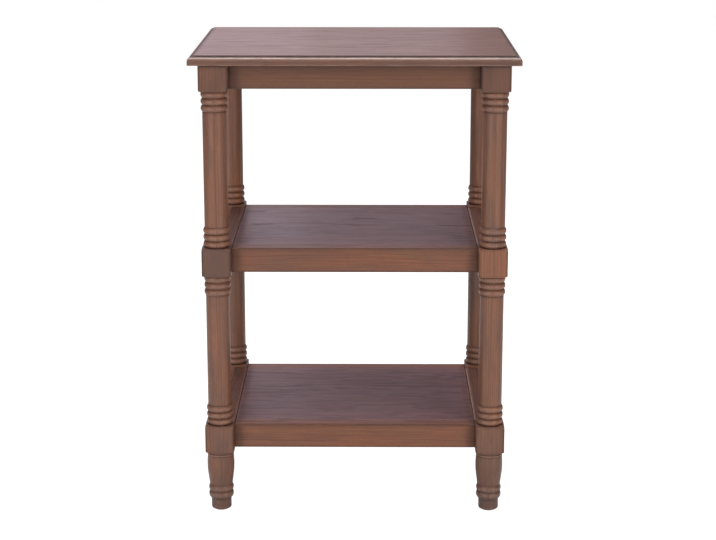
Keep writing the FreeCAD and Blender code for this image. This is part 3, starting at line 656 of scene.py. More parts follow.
@dataclass(frozen=True)
class WoodFinish:
    """Brown-stained wood under lacquer, or bare wood. Colours are as a picture stores them."""

    name: str
    wood: tuple[int, int, int]
    late_wood: tuple[int, int, int]
    warm: tuple[int, int, int]
    dull: tuple[int, int, int]
    pore: tuple[int, int, int] = (66, 44, 36)
    # This dark colour is glazing and also painted shade.
    glaze: tuple[int, int, int] = (44, 30, 26)
    # This pale colour is wear and also a painted highlight.
    rubbed: tuple[int, int, int] = (158, 124, 108)
    ring_width: float = 5.0
    waviness: float = 14.0
    patch_length: float = 90.0
    patch_width: float = 24.0
    late_share: float = 0.55
    streak_share: float = 0.35
    pore_share: float = 0.55
    warm_share: float = 0.6
    dull_share: float = 0.6
    rub_share: float = 0.5
    roughness: float = 0.4
    coat: float = 0.25
    coat_roughness: float = 0.28
    glaze_roughness: float = 0.5
    bump: float = 0.18
    bump_depth: float = 0.15
    packed_grain: Grain | None = None

    def marks(self, sheet: NodeSheet) -> dict[Mark, object]:
        """What each mark says at a point.

        Args:
            sheet: The material's nodes.

        Returns:
            A value for each mark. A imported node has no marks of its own, so its place follows its position.
        """
        if self.packed_grain is None:
            found = {mark: sheet.node("ShaderNodeAttribute", attribute_name=mark.value) for mark in Mark}
            return {mark: node.outputs["Vector" if mark is Mark.GRAIN else "Fac"] for mark, node in found.items()}
        spot = sheet.node("ShaderNodeTexCoord").outputs["Object"]
        spot = sheet.vector("MULTIPLY", spot, (1 / MM, 1 / MM, 1 / MM))
        parts = sheet.node("ShaderNodeSeparateXYZ")
        sheet.feed(parts.inputs[0], spot)
        ordered = [parts.outputs[axis] for axis in self.packed_grain.value]
        return dict.fromkeys(Mark, 0.0) | {Mark.GRAIN: sheet.placed("ShaderNodeCombineXYZ", ordered)}

    def build(self, effects: SharedEffects) -> bpy.types.Material:
        """Make the material.

        Args:
            effects: The shared node groups.

        Returns:
            The material.
        """
        sheet = MaterialSheet(self.name)
        marks = self.marks(sheet)
        place = marks[Mark.GRAIN]
        figure = sheet.group(effects.figure, place=place, ring_width=self.ring_width, waviness=self.waviness)
        blotch = sheet.group(effects.blotch, place=place, patch_length=self.patch_length,
                             patch_width=self.patch_width)
        glaze_and_light_marks = sheet.group(effects.glaze_and_light_marks, place=place, recess=marks[Mark.RECESS], edge=marks[Mark.EDGE])
        warm = sheet.share(blotch.outputs["warm"], self.warm_share, marks[Mark.TINT])
        cooler = sheet.math("MULTIPLY", marks[Mark.TINT], -1.0)
        dull = sheet.share(blotch.outputs["dull"], self.dull_share, cooler)
        glaze = glaze_and_light_marks.outputs["glaze"]
        late, streaks, pores = (figure.outputs[word] for word in ("late_wood", "streaks", "pores"))
        film = sheet.group(effects.film, place=place, pores=pores, streaks=streaks, late_wood=late,
                           base_roughness=self.roughness, full_coat=self.coat)

        layers = (
            (warm, 1.0, self.warm),
            (dull, 1.0, self.dull),
            (late, self.late_share, self.late_wood),
            (streaks, self.streak_share, self.late_wood),
            (pores, self.pore_share, self.pore),
            # The pale layer below is wear together with painted highlights; the dark one after it is glazing
            # together with painted shade.
            (glaze_and_light_marks.outputs["rub"], self.rub_share, self.rubbed),
            (glaze, 1.0, self.glaze),
        )
        colour: object = tone(*self.wood)
        for mask, share, layer in layers:
            colour = sheet.blend(sheet.math("MULTIPLY", mask, share), colour, tone(*layer))
        return sheet.surface({
            "Base Color": colour,
            "Roughness": sheet.math("MULTIPLY_ADD", glaze, self.glaze_roughness, film.outputs["roughness"]),
            "Normal": sheet.bump(film.outputs["height"], self.bump, self.bump_depth),
            "Coat Weight": sheet.math("MULTIPLY", film.outputs["coat"], sheet.math("SUBTRACT", 1.0, glaze)),
            "Coat Roughness": self.coat_roughness,
        })


@dataclass(frozen=True)
class MetalFinish:
    """Plated metal with patches of tarnish and fine turning marks. Scales count lumps in a metre."""

    name: str
    main: tuple[int, int, int]
    patch: tuple[int, int, int]
    patch_scale: tuple[float, float, float] = (900.0, 900.0, 900.0)
    patch_low: float = 0.4
    patch_high: float = 0.75
    mark_scale: tuple[float, float, float] = (600.0, 600.0, 6000.0)
    mark_strength: float = 0.25
    mark_depth: float = 0.05
    least_roughness: float = 0.22
    patch_roughness: float = 0.25
    metallic: float = 1.0

    def build(self) -> bpy.types.Material:
        """Make the material.

        Returns:
            The material.
        """
        sheet = MaterialSheet(self.name)
        spot = sheet.node("ShaderNodeTexCoord").outputs["Object"]
        patches = sheet.noise(sheet.vector("MULTIPLY", spot, self.patch_scale), detail=4.0)
        marks = sheet.noise(sheet.vector("MULTIPLY", spot, self.mark_scale), detail=2.0)
        second = sheet.ramp(patches, self.patch_low, self.patch_high)
        return sheet.surface({
            "Base Color": sheet.blend(second, tone(*self.main), tone(*self.patch)),
            "Metallic": self.metallic,
            "Roughness": sheet.math("MULTIPLY_ADD", patches, self.patch_roughness, self.least_roughness),
            "Normal": sheet.bump(marks, self.mark_strength, self.mark_depth),
        })


@dataclass(frozen=True)
class PlasticFinish(MetalFinish):
    """Matt moulded plastic with scuffed patches and a fine grit, made the same way."""

    patch_scale: tuple[float, float, float] = (300.0, 300.0, 300.0)
    patch_low: float = 0.45
    patch_high: float = 0.8
    mark_scale: tuple[float, float, float] = (4000.0, 4000.0, 4000.0)
    mark_strength: float = 0.3
    mark_depth: float = 0.04
    least_roughness: float = 0.5
    patch_roughness: float = 0.2
    metallic: float = 0.0


class Finishes:
    """Every finish of the table, built once."""

    def __init__(self, effects: SharedEffects) -> None:
        """Build the materials.

        Args:
            effects: The shared node groups.
        """
        self.top = WoodFinish(
            "stained_top", wood=(100, 71, 58), late_wood=(66, 46, 40), warm=(106, 72, 55), dull=(84, 64, 56),
            ring_width=6.5, waviness=26.0, roughness=0.36, coat=0.35, bump=0.3,
        ).build(effects)
        self.shelf = WoodFinish(
            "stained_shelf", wood=(118, 74, 64), late_wood=(64, 40, 37), warm=(124, 76, 62), dull=(98, 64, 60),
            ring_width=6.0, waviness=30.0, roughness=0.36, late_share=0.8, coat=0.35, bump=0.3,
        ).build(effects)
        self.rail = WoodFinish(
            "stained_rail", wood=(112, 71, 51), late_wood=(89, 55, 41), warm=(132, 78, 46), dull=(93, 70, 53),
            ring_width=4.0, waviness=10.0, streak_share=0.6, late_share=0.7,
        ).build(effects)
        self.leg = WoodFinish(
            "stained_leg", wood=(115, 77, 57), late_wood=(91, 60, 46), warm=(136, 84, 54), dull=(80, 60, 52),
            ring_width=3.4, waviness=6.0, streak_share=0.6, late_share=0.7,
        ).build(effects)
        self.inner = {
            grain: WoodFinish(
                f"inner_wood_{grain.name.lower()}", wood=(112, 78, 60), late_wood=(84, 58, 46),
                warm=(128, 86, 60), dull=(98, 74, 58), roughness=0.6, coat=0.0, packed_grain=grain,
            ).build(effects)
            for grain in (Grain.ALONG_X, Grain.ALONG_Y)
        }
        self.dowel = WoodFinish(
            "bare_dowel", wood=(214, 184, 142), late_wood=(186, 150, 108), warm=(222, 190, 146),
            dull=(200, 170, 130), pore=(160, 122, 84), roughness=0.65, coat=0.0, packed_grain=Grain.ALONG_X,
        ).build(effects)
        self.steel = MetalFinish("zinc_plated_steel", main=(200, 198, 194), patch=(168, 166, 164)).build()
        self.brass = MetalFinish("passivated_insert", main=(214, 186, 118), patch=(176, 148, 90)).build()
        self.glide = PlasticFinish("nylon_glide", main=(52, 42, 37), patch=(74, 64, 58)).build()


# Wooden pieces


@dataclass(frozen=True)
class LegLook:
    """How the finish of a leg piece came out.

    The first three are the stain of the turned part, of the block and, added to the turned part's, at the lower
    end: warm above zero and dull below it. The glaze is what a column's upper grooves kept.
    """

    turned: float = 0.0
    block: float = 0.0
    toe: float = 0.0
    glaze: float = 0.5


LEG_LOOKS: dict[tuple[Turning, str], LegLook] = {
    (Turning.UPPER, "front_left"): LegLook(turned=0.25, block=-0.15),
    (Turning.UPPER, "front_right"): LegLook(block=-0.5),
    (Turning.UPPER, "back_right"): LegLook(turned=0.25, block=0.1),
    (Turning.UPPER, "back_left"): LegLook(turned=0.2, block=-0.1),
    (Turning.MIDDLE, "front_left"): LegLook(turned=0.05, block=-0.8, glaze=0.2),
    (Turning.MIDDLE, "front_right"): LegLook(turned=0.1, block=0.6),
    (Turning.MIDDLE, "back_right"): LegLook(turned=-0.15, block=0.1),
    (Turning.MIDDLE, "back_left"): LegLook(block=-0.2),
    (Turning.FOOT, "front_left"): LegLook(turned=0.1, block=-0.1, toe=-0.8),
    (Turning.FOOT, "front_right"): LegLook(turned=-0.2, toe=-0.7),
    (Turning.FOOT, "back_right"): LegLook(turned=0.1, block=0.1, toe=-0.5),
    (Turning.FOOT, "back_left"): LegLook(turned=-0.1, toe=-0.6),
}


@dataclass
class BoardMaker:
    """Cuts flat boards: rings run from the middle of the underside, round the edge, to the middle above."""

    finish: bpy.types.Material
    slot: str
    corner_radius: float = 0.0
    side_steps: int = 40
    inner_shares: tuple[float, ...] = (1.0, 0.8, 0.6, 0.4, 0.22, 0.1)
    # Painted shade towards the left and right ends of a board.
    end_glaze: float = 0.0
    end_reach: float = 9.0

    def edge_rows(self, thickness: float) -> list[tuple[float, float, float, float]]:
        """The board's edge from the underside to the upper face.

        Args:
            thickness: The board's thickness.

        Returns:
            Rows of inset, height above the underside, recess and edge.
        """
        raise NotImplementedError

    def cut(self, node: str, place: LogPlace, tint: float = 0.0) -> None:
        """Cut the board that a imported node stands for.

        Args:
            node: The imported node.
            place: Where the board lay in the log.
            tint: How its stain came out, warm above zero and dull below it.
        """
        low, high = box_of(node)
        half = (high - low) / 2
        middle = (low + high)[:2] / 2
        outline = Outline(half[0], half[1], self.corner_radius, side_steps=self.side_steps)
        reach = min(half[0], half[1])
        stack = RingStack()
        stack.tint = tint

        def lay(inset: float, height: float, recess: float = 0.0, edge: float = 0.0) -> None:
            """Lay a ring of the board.

            Args:
                inset: How far it lies inside the board's outline.
                height: The level that it lies on.
                recess: How dark glazing and painted shade make it there.
                edge: How much wear and a painted highlight lighten it there.
            """
            flat = outline.ring(inset)[0]
            # Painted shade towards the left and right ends.
            end = self.end_glaze * fade(half[0] - np.abs(flat[:, 0]), self.end_reach)
            stack.add(lift(flat, height, middle), np.maximum(recess, end), edge)

        for share in self.inner_shares:
            lay(share * reach, low[2])
        for inset, height, recess, edge in self.edge_rows(high[2] - low[2]):
            lay(inset, low[2] + height, recess, edge)
        for share in reversed(self.inner_shares):
            lay(share * reach, high[2])
        add_piece(stack, node, self.finish, place)


@dataclass
class TopMaker(BoardMaker):
    """Cuts the top: an ovolo round its upper edge, then a step up to the raised field."""

    corner_radius: float = 2.5
    lower_arris: float = 0.4
    ovolo_radius: float = 6.8
    ovolo_steps: int = 16
    field_inset: float = 7.5
    field_step: float = 1.5
    field_arris: float = 0.4
    # Wear together with a painted highlight across the ovolo.
    ovolo_rub: float = 0.4
    # Painted shade over the upper part of the ovolo, above its highlight.
    ovolo_glaze: float = 0.8
    ovolo_glaze_start: float = 0.54
    ovolo_glaze_run: float = 0.12
    step_glaze: float = 0.6

    def edge_rows(self, thickness: float) -> list[tuple[float, float, float, float]]:
        """The moulded edge. Glaze gathers round the step, and painted shade darkens the upper part of the ovolo.

        Args:
            thickness: The top's thickness.

        Returns:
            Rows of inset, height above the underside, recess and edge.
        """
        slab = thickness - self.field_step
        foot = slab - self.ovolo_radius
        rows = [(8.0, 0.0, 0.0, 0.0), (1.4, 0.0, 0.1, 0.2)]
        rows += [(inset, height, 0.0, 0.9) for height, inset in quarter_round(self.lower_arris, (0.0, 0.5, 1.0))]
        rows += [(0.0, 1.0, 0.0, 0.5), (0.0, 2.4, 0.0, 0.1), (0.0, foot - 1.2, 0.0, 0.0)]
        for share in np.linspace(0, 1, self.ovolo_steps + 1):
            angle = share * math.pi / 2
            inset = self.ovolo_radius * (1 - math.cos(angle))
            height = foot + self.ovolo_radius * math.sin(angle)
            # Painted shade over the upper part of the ovolo.
            darkened = min(max(0.0, (share - self.ovolo_glaze_start) / self.ovolo_glaze_run), 1.0)
            rows.append((inset, height, self.ovolo_glaze * darkened, self.ovolo_rub * math.sin(2 * angle)))
        rows += [(self.field_inset, slab, 0.8, 0.0), (self.field_inset, slab + 0.5, 0.7, 0.0)]
        for inset, drop in quarter_round(self.field_arris, (0.0, 0.33, 0.67, 1.0)):
            rows.append((self.field_inset + inset, thickness - drop, self.step_glaze, 0.0))
        for beyond, share in ((2.0, 0.5), (5.0, 0.0)):
            rows.append((self.field_inset + beyond, thickness, share * self.step_glaze, 0.0))
        return rows


@dataclass
class PanelMaker(BoardMaker):
    """Cuts a shelf panel, with an eased upper edge beside the dark gap round it, and painted shade near both ends.
    """

    side_steps: int = 36
    end_glaze: float = 0.4
    arris: float = 0.8
    arris_steps: int = 4
    # Darker where the eased edge turns down into the gap.
    arris_glaze: float = 0.5
    rub_fade: tuple[tuple[float, float], ...] = ((1.0, 0.8), (2.2, 0.2), (4.0, 0.0))

    def edge_rows(self, thickness: float) -> list[tuple[float, float, float, float]]:
        """The panel's edge, dark inside the gap.

        Args:
            thickness: The panel's thickness.

        Returns:
            Rows of inset, height above the underside, recess and edge.
        """
        rows = [(6.0, 0.0, 0.0, 0.0), (0.6, 0.0, 0.4, 0.0), (0.0, 0.0, 0.8, 0.0), (0.0, thickness / 2, 1.0, 0.0)]
        rows += [(0.0, thickness - 2 * self.arris, 0.9, 0.0)]
        shares = np.linspace(0, 1, self.arris_steps + 1)
        for share, (inset, drop) in zip(shares, quarter_round(self.arris, shares)):
            rows.append((inset, thickness - drop, self.arris_glaze * (1 - share) ** 3, share))
        return rows + [(self.arris + beyond, thickness, 0.0, rub) for beyond, rub in self.rub_fade]


@dataclass(frozen=True)
class RailLook:
    """How the finish of a rail came out.

    The stain is warm above zero and dull below it. The top shade is painted shade on its upper face, and the inner
    highlight is a painted highlight along its upper edge beside the shelf panel.
    """

    tint: float = 0.0
    top_glaze: float = 0.0
    inner_rub: float = 0.2


APRON_LOOK = RailLook(tint=-0.35, inner_rub=0.0)
SHELF_RAIL_LOOKS: dict[tuple[str, str], RailLook] = {
    ("middle", "front"): RailLook(),
    ("middle", "right"): RailLook(top_glaze=0.28, inner_rub=3.2),
    ("middle", "back"): RailLook(),
    ("middle", "left"): RailLook(top_glaze=0.28),
    ("lower", "front"): RailLook(tint=0.3),
    ("lower", "right"): RailLook(tint=0.3, top_glaze=0.5, inner_rub=3.2),
    ("lower", "back"): RailLook(tint=0.3),
    ("lower", "left"): RailLook(tint=0.3, top_glaze=0.5),
}


@dataclass
class RailMaker:
    """Planes rails and aprons: a bar with eased long edges that butts against a block at each end."""

    finish: bpy.types.Material
    slot: str = "rail_wood"
    arris: float = 0.8
    side_steps: int = 12
    end_rows: tuple[float, ...] = (0.0, 0.6, 1.4, 2.4, 4.0, 7.0, 11.0, 16.0)
    span: float = 14.0
    joint_glaze: float = 0.35
    joint_reach: float = 1.8
    # Painted shade on the rail near each block, where the leg shades it.
    shade_glaze: float = 0.42
    shade_reach: float = 9.0
    # Darker along the outer arrises.
    arris_glaze: float = 0.5
    arris_reach: float = 1.5
    # Painted shadow down the upper part of the outer face, as the top's overhang casts on the aprons.
    upper_glaze: float = 0.5
    upper_reach: float = 3.5
    top_reach: float = 0.4

    def stations(self, length: float) -> np.ndarray:
        """Places along the rail where a ring lies.

        Args:
            length: The rail's length.

        Returns:
            Distances from its first end, closest together near both ends.
        """
        near = np.array(self.end_rows)
        count = max(int((length - 2 * near[-1]) / self.span), 2)
        between = np.linspace(near[-1], length - near[-1], count + 1)[1:-1]
        return np.concatenate([near, between, length - near[::-1]])

    def cut(self, node: str, place: LogPlace, look: RailLook) -> None:
        """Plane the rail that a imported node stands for.

        Args:
            node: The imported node.
            place: Where the rail lay in the log.
            look: How its finish came out.
        """
        low, high = box_of(node)
        half = (high - low) / 2
        middle = (low + high) / 2
        lengthwise = 0 if half[0] > half[1] else 1
        outline = Outline(half[1 - lengthwise], half[2], self.arris, self.side_steps, arris_mark_reach=self.arris_reach)
        flat, nearness = outline.ring()
        off_face = half[1 - lengthwise] - np.abs(flat[:, 0])
        off_top = half[2] - flat[:, 1]
        outer = flat[:, 0] * middle[1 - lengthwise] > 0
        inner_arris = nearness * (~outer & (flat[:, 1] > 0))
        # Painted shadow near the upper edge of the outer face.
        upper = self.upper_glaze * fade(off_top, self.upper_reach) * fade(off_face, self.arris_reach)
        # Painted shade on a rail's upper face.
        top = look.top_glaze * fade(off_top, self.top_reach) * (1 - inner_arris)
        glaze = np.maximum(np.maximum(self.arris_glaze * nearness, upper) * outer, top)
        # Painted highlight on the inner upper arris beside the panel.
        rub = look.inner_rub * inner_arris
        length = 2 * half[lengthwise]
        stack = RingStack()
        stack.tint = look.tint

        def lay(station: float, size: float) -> None:
            """Lay a ring across the rail.

            Args:
                station: How far it lies from the rail's first end.
                size: 1 for the whole section, 0 for a point.
            """
            ring = np.empty((len(flat), 3))
            ring[:, lengthwise] = low[lengthwise] + station
            ring[:, 1 - lengthwise] = middle[1 - lengthwise] + size * flat[:, 0]
            ring[:, 2] = middle[2] + size * flat[:, 1]
            off_end = min(station, length - station)
            joint = self.joint_glaze * float(fade(off_end, self.joint_reach))
            # Painted shade near each end, added to the dark joint line.
            joint += self.shade_glaze * float(fade(off_end, self.shade_reach))
            stack.add(ring, np.maximum(min(joint, 1.0), glaze), rub)

        lay(0.0, 0.0)
        for station in self.stations(length):
            lay(float(station), 1.0)
        lay(length, 0.0)
        add_piece(stack, node, self.finish, place)


@dataclass(frozen=True)
class Row:
    """One level of a turning."""

    height: float
    radius: float
    recess: float = 0.0
    edge: float = 0.0


@dataclass
class LegTurner:
    """Turns the legs: columns with beads at both ends, feet, and the square blocks between them.

    A field that ends in _glaze says how much glazing gathers at a spot, one in _rub how much wears off there, one
    in
    _wear_and_highlight how much wear and a painted highlight lighten it, one in _darkening how much darker it is
    drawn, and one in _reach how far any of these spreads. Steps count the rows of an arc. The rows of the tip are
    height, recess and edge, and a shade is a distance and how dark it is drawn there: the upper shade is the
    painted shadow of the top's overhang.
    """

    finish: bpy.types.Material
    slot: str = "leg_wood"
    stock: float = 41.0
    top_block: float = 38.5
    shelf_block: float = 41.0
    block_steps: int = 11
    block_arris: float = 0.8
    section_steps: int = 22
    shoulder_depth: float = 4.2
    shoulder_rise: float = 4.0
    shoulder_bulge: float = 1.05
    shoulder_steps: int = 10
    shoulder_gap: float = 0.6
    collar: float = 0.7
    collar_glaze: float = 0.3
    column_radius: float = 17.0
    column_ends: tuple[float, ...] = (0.0, 0.6, 1.6, 3.2, 6.0, 12.0)
    column_steps: int = 11
    bead_radius: float = 19.0
    groove_radius: float = 16.6
    bead_pitch: float = 9.7
    bead_quirk: float = 0.8
    bead_count: int = 3
    bead_steps: int = 14
    tip_radius: float = 14.5
    tip_height: float = 13.0
    tip_edge: float = 2.0
    tip_edge_steps: int = 6
    tip_rows: tuple[tuple[float, float, float], ...] = ((5.0, 0.0, 0.0), (9.0, 0.0, 0.0), (11.8, 0.1, 0.3))
    tip_cove: float = 4.4
    tip_cove_steps: int = 7
    foot_bead_radius: float = 18.1
    foot_groove_radius: float = 16.5
    foot_bead_count: int = 2
    calf_radius: float = 18.9
    calf_rise: float = 18.0
    calf_steps: int = 11
    belly_bulge: float = 0.8
    belly_steps: int = 12
    astragal_radius: float = 19.4
    astragal_height: float = 3.6
    astragal_steps: int = 8
    neck_radius: float = 18.4
    neck_height: float = 3.4
    glaze_reach: float = 1.15
    wipe: float = 0.8
    wipe_reach: float = 3.0
    groove_glaze: float = 0.5
    # Wear together with a painted highlight on the crests.
    crest_rub: float = 0.7
    crest_reach: float = 2.4
    column_glaze: float = 0.5
    column_reach: float = 1.5
    tip_glaze: float = 0.15
    tip_rub: float = 0.8
    foot_glaze: float = 0.3
    ankle_reach: float = 1.8
    crown_glaze: float = 0.2
    crown_reach: float = 1.2
    astragal_glaze: float = 0.1
    astragal_reach: float = 1.2
    neck_glaze: float = 0.35
    quirk_reach: float = 0.7
    # Darker along the block's arrises.
    arris_glaze: float = 0.55
    arris_reach: float = 2.0
    # Wear together with a painted highlight where the turning cuts the block's corners.
    shoulder_rub: float = 0.35
    shoulder_reach: float = 0.8
    lower_shoulder_glaze: float = 0.2
    upper_shoulder_glaze: float = 0.3
    toe_reach: float = 38.0
    # Painted shadow of the top's overhang: depth below the block's upper face and how dark it is there.
    upper_shade: tuple[tuple[float, float], ...] = ((4.0, 0.3), (2.6, 0.55), (1.2, 0.75), (0.4, 0.9), (0.0, 1.0))
    seat_shade: tuple[tuple[float, float], ...] = ((2.2, 0.25), (0.9, 0.8), (0.0, 1.0))
    section: tuple[np.ndarray, np.ndarray] = field(init=False)

    def __post_init__(self) -> None:
        """Draw the block's square section once."""
        half = self.stock / 2
        square = Outline(half, half, self.block_arris, self.section_steps, arris_mark_reach=self.arris_reach)
        self.section = square.ring()

    def bulged(self, low: tuple[float, float], high: tuple[float, float], bulge: float, steps: int) -> list[Row]:
        """Rows of an arc between two levels.

        Args:
            low: Height and radius of its lower end.
            high: Height and radius of its upper end.
            bulge: How far the arc stands out past the straight line, less than zero for a cove.
            steps: How many rows it gets.

        Returns:
            The rows from the lower end to the upper one.
        """
        start, end = np.array(low), np.array(high)
        chord = end - start
        length = float(np.linalg.norm(chord))
        radius = length ** 2 / (8 * abs(bulge)) + abs(bulge) / 2
        outward = np.array([-chord[1], chord[0]]) / length * math.copysign(1, bulge)
        centre = (start + end) / 2 + outward * (abs(bulge) - radius)
        half_angle = math.asin(min(length / 2 / radius, 1.0))
        rows = []
        for share in np.linspace(-1, 1, steps + 1):
            angle = share * half_angle
            height, reach = centre + radius * (outward * math.cos(angle) + chord / length * math.sin(angle))
            rows.append(Row(float(height), float(reach)))
        return rows

    def bead(self, base: float, groove: float, crest: float, glaze: float) -> list[Row]:
        """One round bead, with glazing in the grooves at its ends, and wear and a painted highlight on its crest.

        Args:
            base: The height where it starts.
            groove: The radius of the grooves.
            crest: The radius of the crest.
            glaze: How much glaze the grooves kept.

        Returns:
            Its rows.
        """
        top = base + self.bead_pitch
        rows = self.bulged((base, groove), (top, groove), crest - groove, self.bead_steps)
        marked = []
        for row in rows:
            off_groove = min(row.height - base, top - row.height)
            off_crest = abs(row.height - (base + top) / 2)
            recess = glaze * fade(off_groove, self.glaze_reach)
            # The crest's edge mark is wear together with a painted highlight.
            marked.append(replace(row, recess=recess, edge=self.crest_rub * fade(off_crest, self.crest_reach)))
        return marked

    def wiped(self, rows: Iterable[Row], height: float) -> list[Row]:
        """Rows with most of the glaze wiped off beside a height.

        Args:
            rows: The rows as turned.
            height: Where the glaze was wiped.

        Returns:
            The same rows with less recess there.
        """
        kept = [1 - self.wipe * fade(abs(row.height - height), self.wipe_reach) for row in rows]
        return [replace(row, recess=row.recess * share) for row, share in zip(rows, kept)]

    def beads(self, base: float, groove: float, crest: float, count: int, glaze: float) -> list[Row]:
        """A run of beads, one on the other.

        Args:
            base: The height where the lowest one starts.
            groove: The radius of the grooves.
            crest: The radius of the crests.
            count: How many there are.
            glaze: How much glaze the grooves kept.

        Returns:
            Their rows.
        """
        rows: list[Row] = []
        for index in range(count):
            rows += self.bead(base + index * self.bead_pitch, groove, crest, glaze)
        return rows

    def column_rows(self, length: float, glaze: float) -> list[Row]:
        """The turned part of an upper or middle leg.

        Args:
            length: Its length up to the block.
            glaze: How much glaze its upper grooves kept.

        Returns:
            Its rows from the joint up.
        """
        run = self.bead_count * self.bead_pitch
        low, high = run + self.bead_quirk, length - run - self.bead_quirk
        rows = self.beads(0.0, self.groove_radius, self.bead_radius, self.bead_count, self.groove_glaze)
        rows = [replace(row, recess=max(row.recess, fade(row.height, self.glaze_reach))) for row in rows]
        for off_end in self.column_ends:
            shade = self.column_glaze * self.groove_glaze * fade(off_end, self.column_reach)
            rows.append(Row(low + off_end, self.column_radius, shade))
        plain = self.column_ends[-1]
        for height in np.linspace(low + plain, high - plain, self.column_steps + 1)[1:-1]:
            rows.append(Row(float(height), self.column_radius))
        for off_end in reversed(self.column_ends):
            shade = self.column_glaze * glaze * fade(off_end, self.column_reach)
            rows.append(Row(high - off_end, self.column_radius, shade))
        upper = self.beads(length - run, self.groove_radius, self.bead_radius, self.bead_count, glaze)
        return rows + self.wiped(upper, length)

    def foot_rows(self, length: float) -> list[Row]:
        """The turned part of a foot: tip, cove, beads, tapered belly, small bead and neck.

        Args:
            length: Its length up to the block.

        Returns:
            Its rows from the glide up.
        """
        ease = self.tip_edge * (1 - math.sqrt(0.5))
        edge_low, edge_high = (0.0, self.tip_radius - self.tip_edge), (self.tip_edge, self.tip_radius)
        tip = self.bulged(edge_low, edge_high, ease, self.tip_edge_steps)
        rows = [replace(row, recess=self.tip_glaze, edge=self.tip_rub) for row in tip]
        rows += [Row(height, self.tip_radius, recess, edge) for height, recess, edge in self.tip_rows]
        cove_top = self.tip_height + self.tip_cove
        cove_low, cove_high = (self.tip_height, self.tip_radius), (cove_top, self.foot_groove_radius)
        cove = self.bulged(cove_low, cove_high, -ease, self.tip_cove_steps)
        rows += [replace(row, recess=self.foot_glaze * (0.4 + index / 10)) for index, row in enumerate(cove)]
        rows += self.beads(cove_top, self.foot_groove_radius, self.foot_bead_radius, self.foot_bead_count,
                           self.foot_glaze)
        ankle = cove_top + self.foot_bead_count * self.bead_pitch
        calf = ankle + self.calf_rise
        crown = length - self.neck_height - self.astragal_height
        for share in np.linspace(0, 1, self.calf_steps + 1):
            rise = share * self.calf_rise
            radius = self.foot_groove_radius + share * (self.calf_radius - self.foot_groove_radius)
            rows.append(Row(ankle + rise, radius, self.foot_glaze * fade(rise, self.ankle_reach)))
        belly_low, belly_high = (calf, self.calf_radius), (crown, self.calf_radius)
        for row in self.bulged(belly_low, belly_high, self.belly_bulge, self.belly_steps):
            rows.append(replace(row, recess=self.crown_glaze * fade(crown - row.height, self.crown_reach)))
        bulge = self.astragal_radius - self.neck_radius
        ring_top = crown + self.astragal_height
        ring_low, ring_high = (crown, self.neck_radius), (ring_top, self.neck_radius)
        for row in self.bulged(ring_low, ring_high, bulge, self.astragal_steps):
            glaze = self.astragal_glaze * fade(row.height - crown, self.quirk_reach)
            glaze += self.neck_glaze * fade(ring_top - row.height, self.quirk_reach)
            off_crest = abs(row.height - (crown + ring_top) / 2)
            # Wear together with a painted highlight on the small bead's crest.
            rows.append(replace(row, recess=glaze, edge=fade(off_crest, self.astragal_reach)))
        return rows + [Row(ring_top + 1.5, self.neck_radius, 0.2), Row(length, self.neck_radius, 0.1)]

    def lay_turning(self, stack: RingStack, rows: Iterable[Row], middle: Sequence[float], base: float,
                    look: LegLook) -> None:
        """Lay the rings of a turning, closed at its lower end.

        Args:
            stack: Where the rings go.
            rows: The turning's rows.
            middle: The leg's axis seen from above.
            base: The height of the turning's lower end.
            look: How its stain came out.
        """
        flat = self.section[0]
        around = flat / np.linalg.norm(flat, axis=1)[:, None]
        first = True
        for row in rows:
            stack.tint = look.turned + look.toe * float(fade(row.height, self.toe_reach))
            if first:
                stack.add(lift(around * 0.0, base + row.height, middle), row.recess)
                first = False
            stack.add(lift(around * row.radius, base + row.height, middle), row.recess, row.edge)

    def lay_block(self, stack: RingStack, middle: Sequence[float], low: float, high: float, neck: float,
                  shouldered: bool) -> None:
        """Lay the rings of a square block on a turning, closed at its upper end.

        Args:
            stack: Where the rings go.
            middle: The leg's axis seen from above.
            low: The height of the block's underside.
            high: The height of its upper face.
            neck: The radius of the turning where they meet.
            shouldered: Whether the upper corners are turned away as the lower ones are.
        """
        flat, nearness = self.section
        reach = np.linalg.norm(flat, axis=1)
        around = flat / reach[:, None]
        corner = float(reach.max()) + self.block_arris * (math.sqrt(2) - 1)
        inner = corner - self.shoulder_depth

        def clipped(height: float, limit: float, recess: float) -> None:
            """Lay the square section where it lies inside a turned radius.

            Args:
                height: The level of the ring.
                limit: The turned radius.
                recess: How dark glazing and painted shade make it there.
            """
            size = np.minimum(reach, limit)
            turned = fade(np.abs(reach - limit), self.shoulder_reach) * (limit < corner)
            glaze = np.maximum(self.arris_glaze * nearness * (size >= reach), recess)
            stack.add(lift(around * size[:, None], height, middle), glaze, self.shoulder_rub * turned)

        shoulder = np.linspace(0, 1, self.shoulder_steps + 1)
        limits = inner + self.shoulder_depth * shoulder + self.shoulder_bulge * np.sin(math.pi * shoulder)
        stack.add(lift(around * (neck + self.collar), low, middle), self.collar_glaze)
        for share, limit in zip(shoulder, limits):
            clipped(low + share * self.shoulder_rise, float(limit), self.lower_shoulder_glaze * (1 - share))
        margin = self.shoulder_rise + self.shoulder_gap
        for share in np.linspace(0, 1, self.block_steps + 1):
            clipped(low + margin + share * (high - low - 2 * margin), corner, 0.0)
        if shouldered:
            for share, limit in zip(shoulder[::-1], limits[::-1]):
                clipped(high - share * self.shoulder_rise, float(limit), self.upper_shoulder_glaze * (1 - share))
            for beyond, glaze in self.seat_shade:
                stack.add(lift(around * (self.groove_radius + beyond), high, middle), glaze)
        else:
            # Painted shadow of the top's overhang on the upper block.
            for depth, glaze in self.upper_shade:
                clipped(high - depth, corner, glaze)
        stack.add(lift(around * 0.0, high, middle), 1.0)

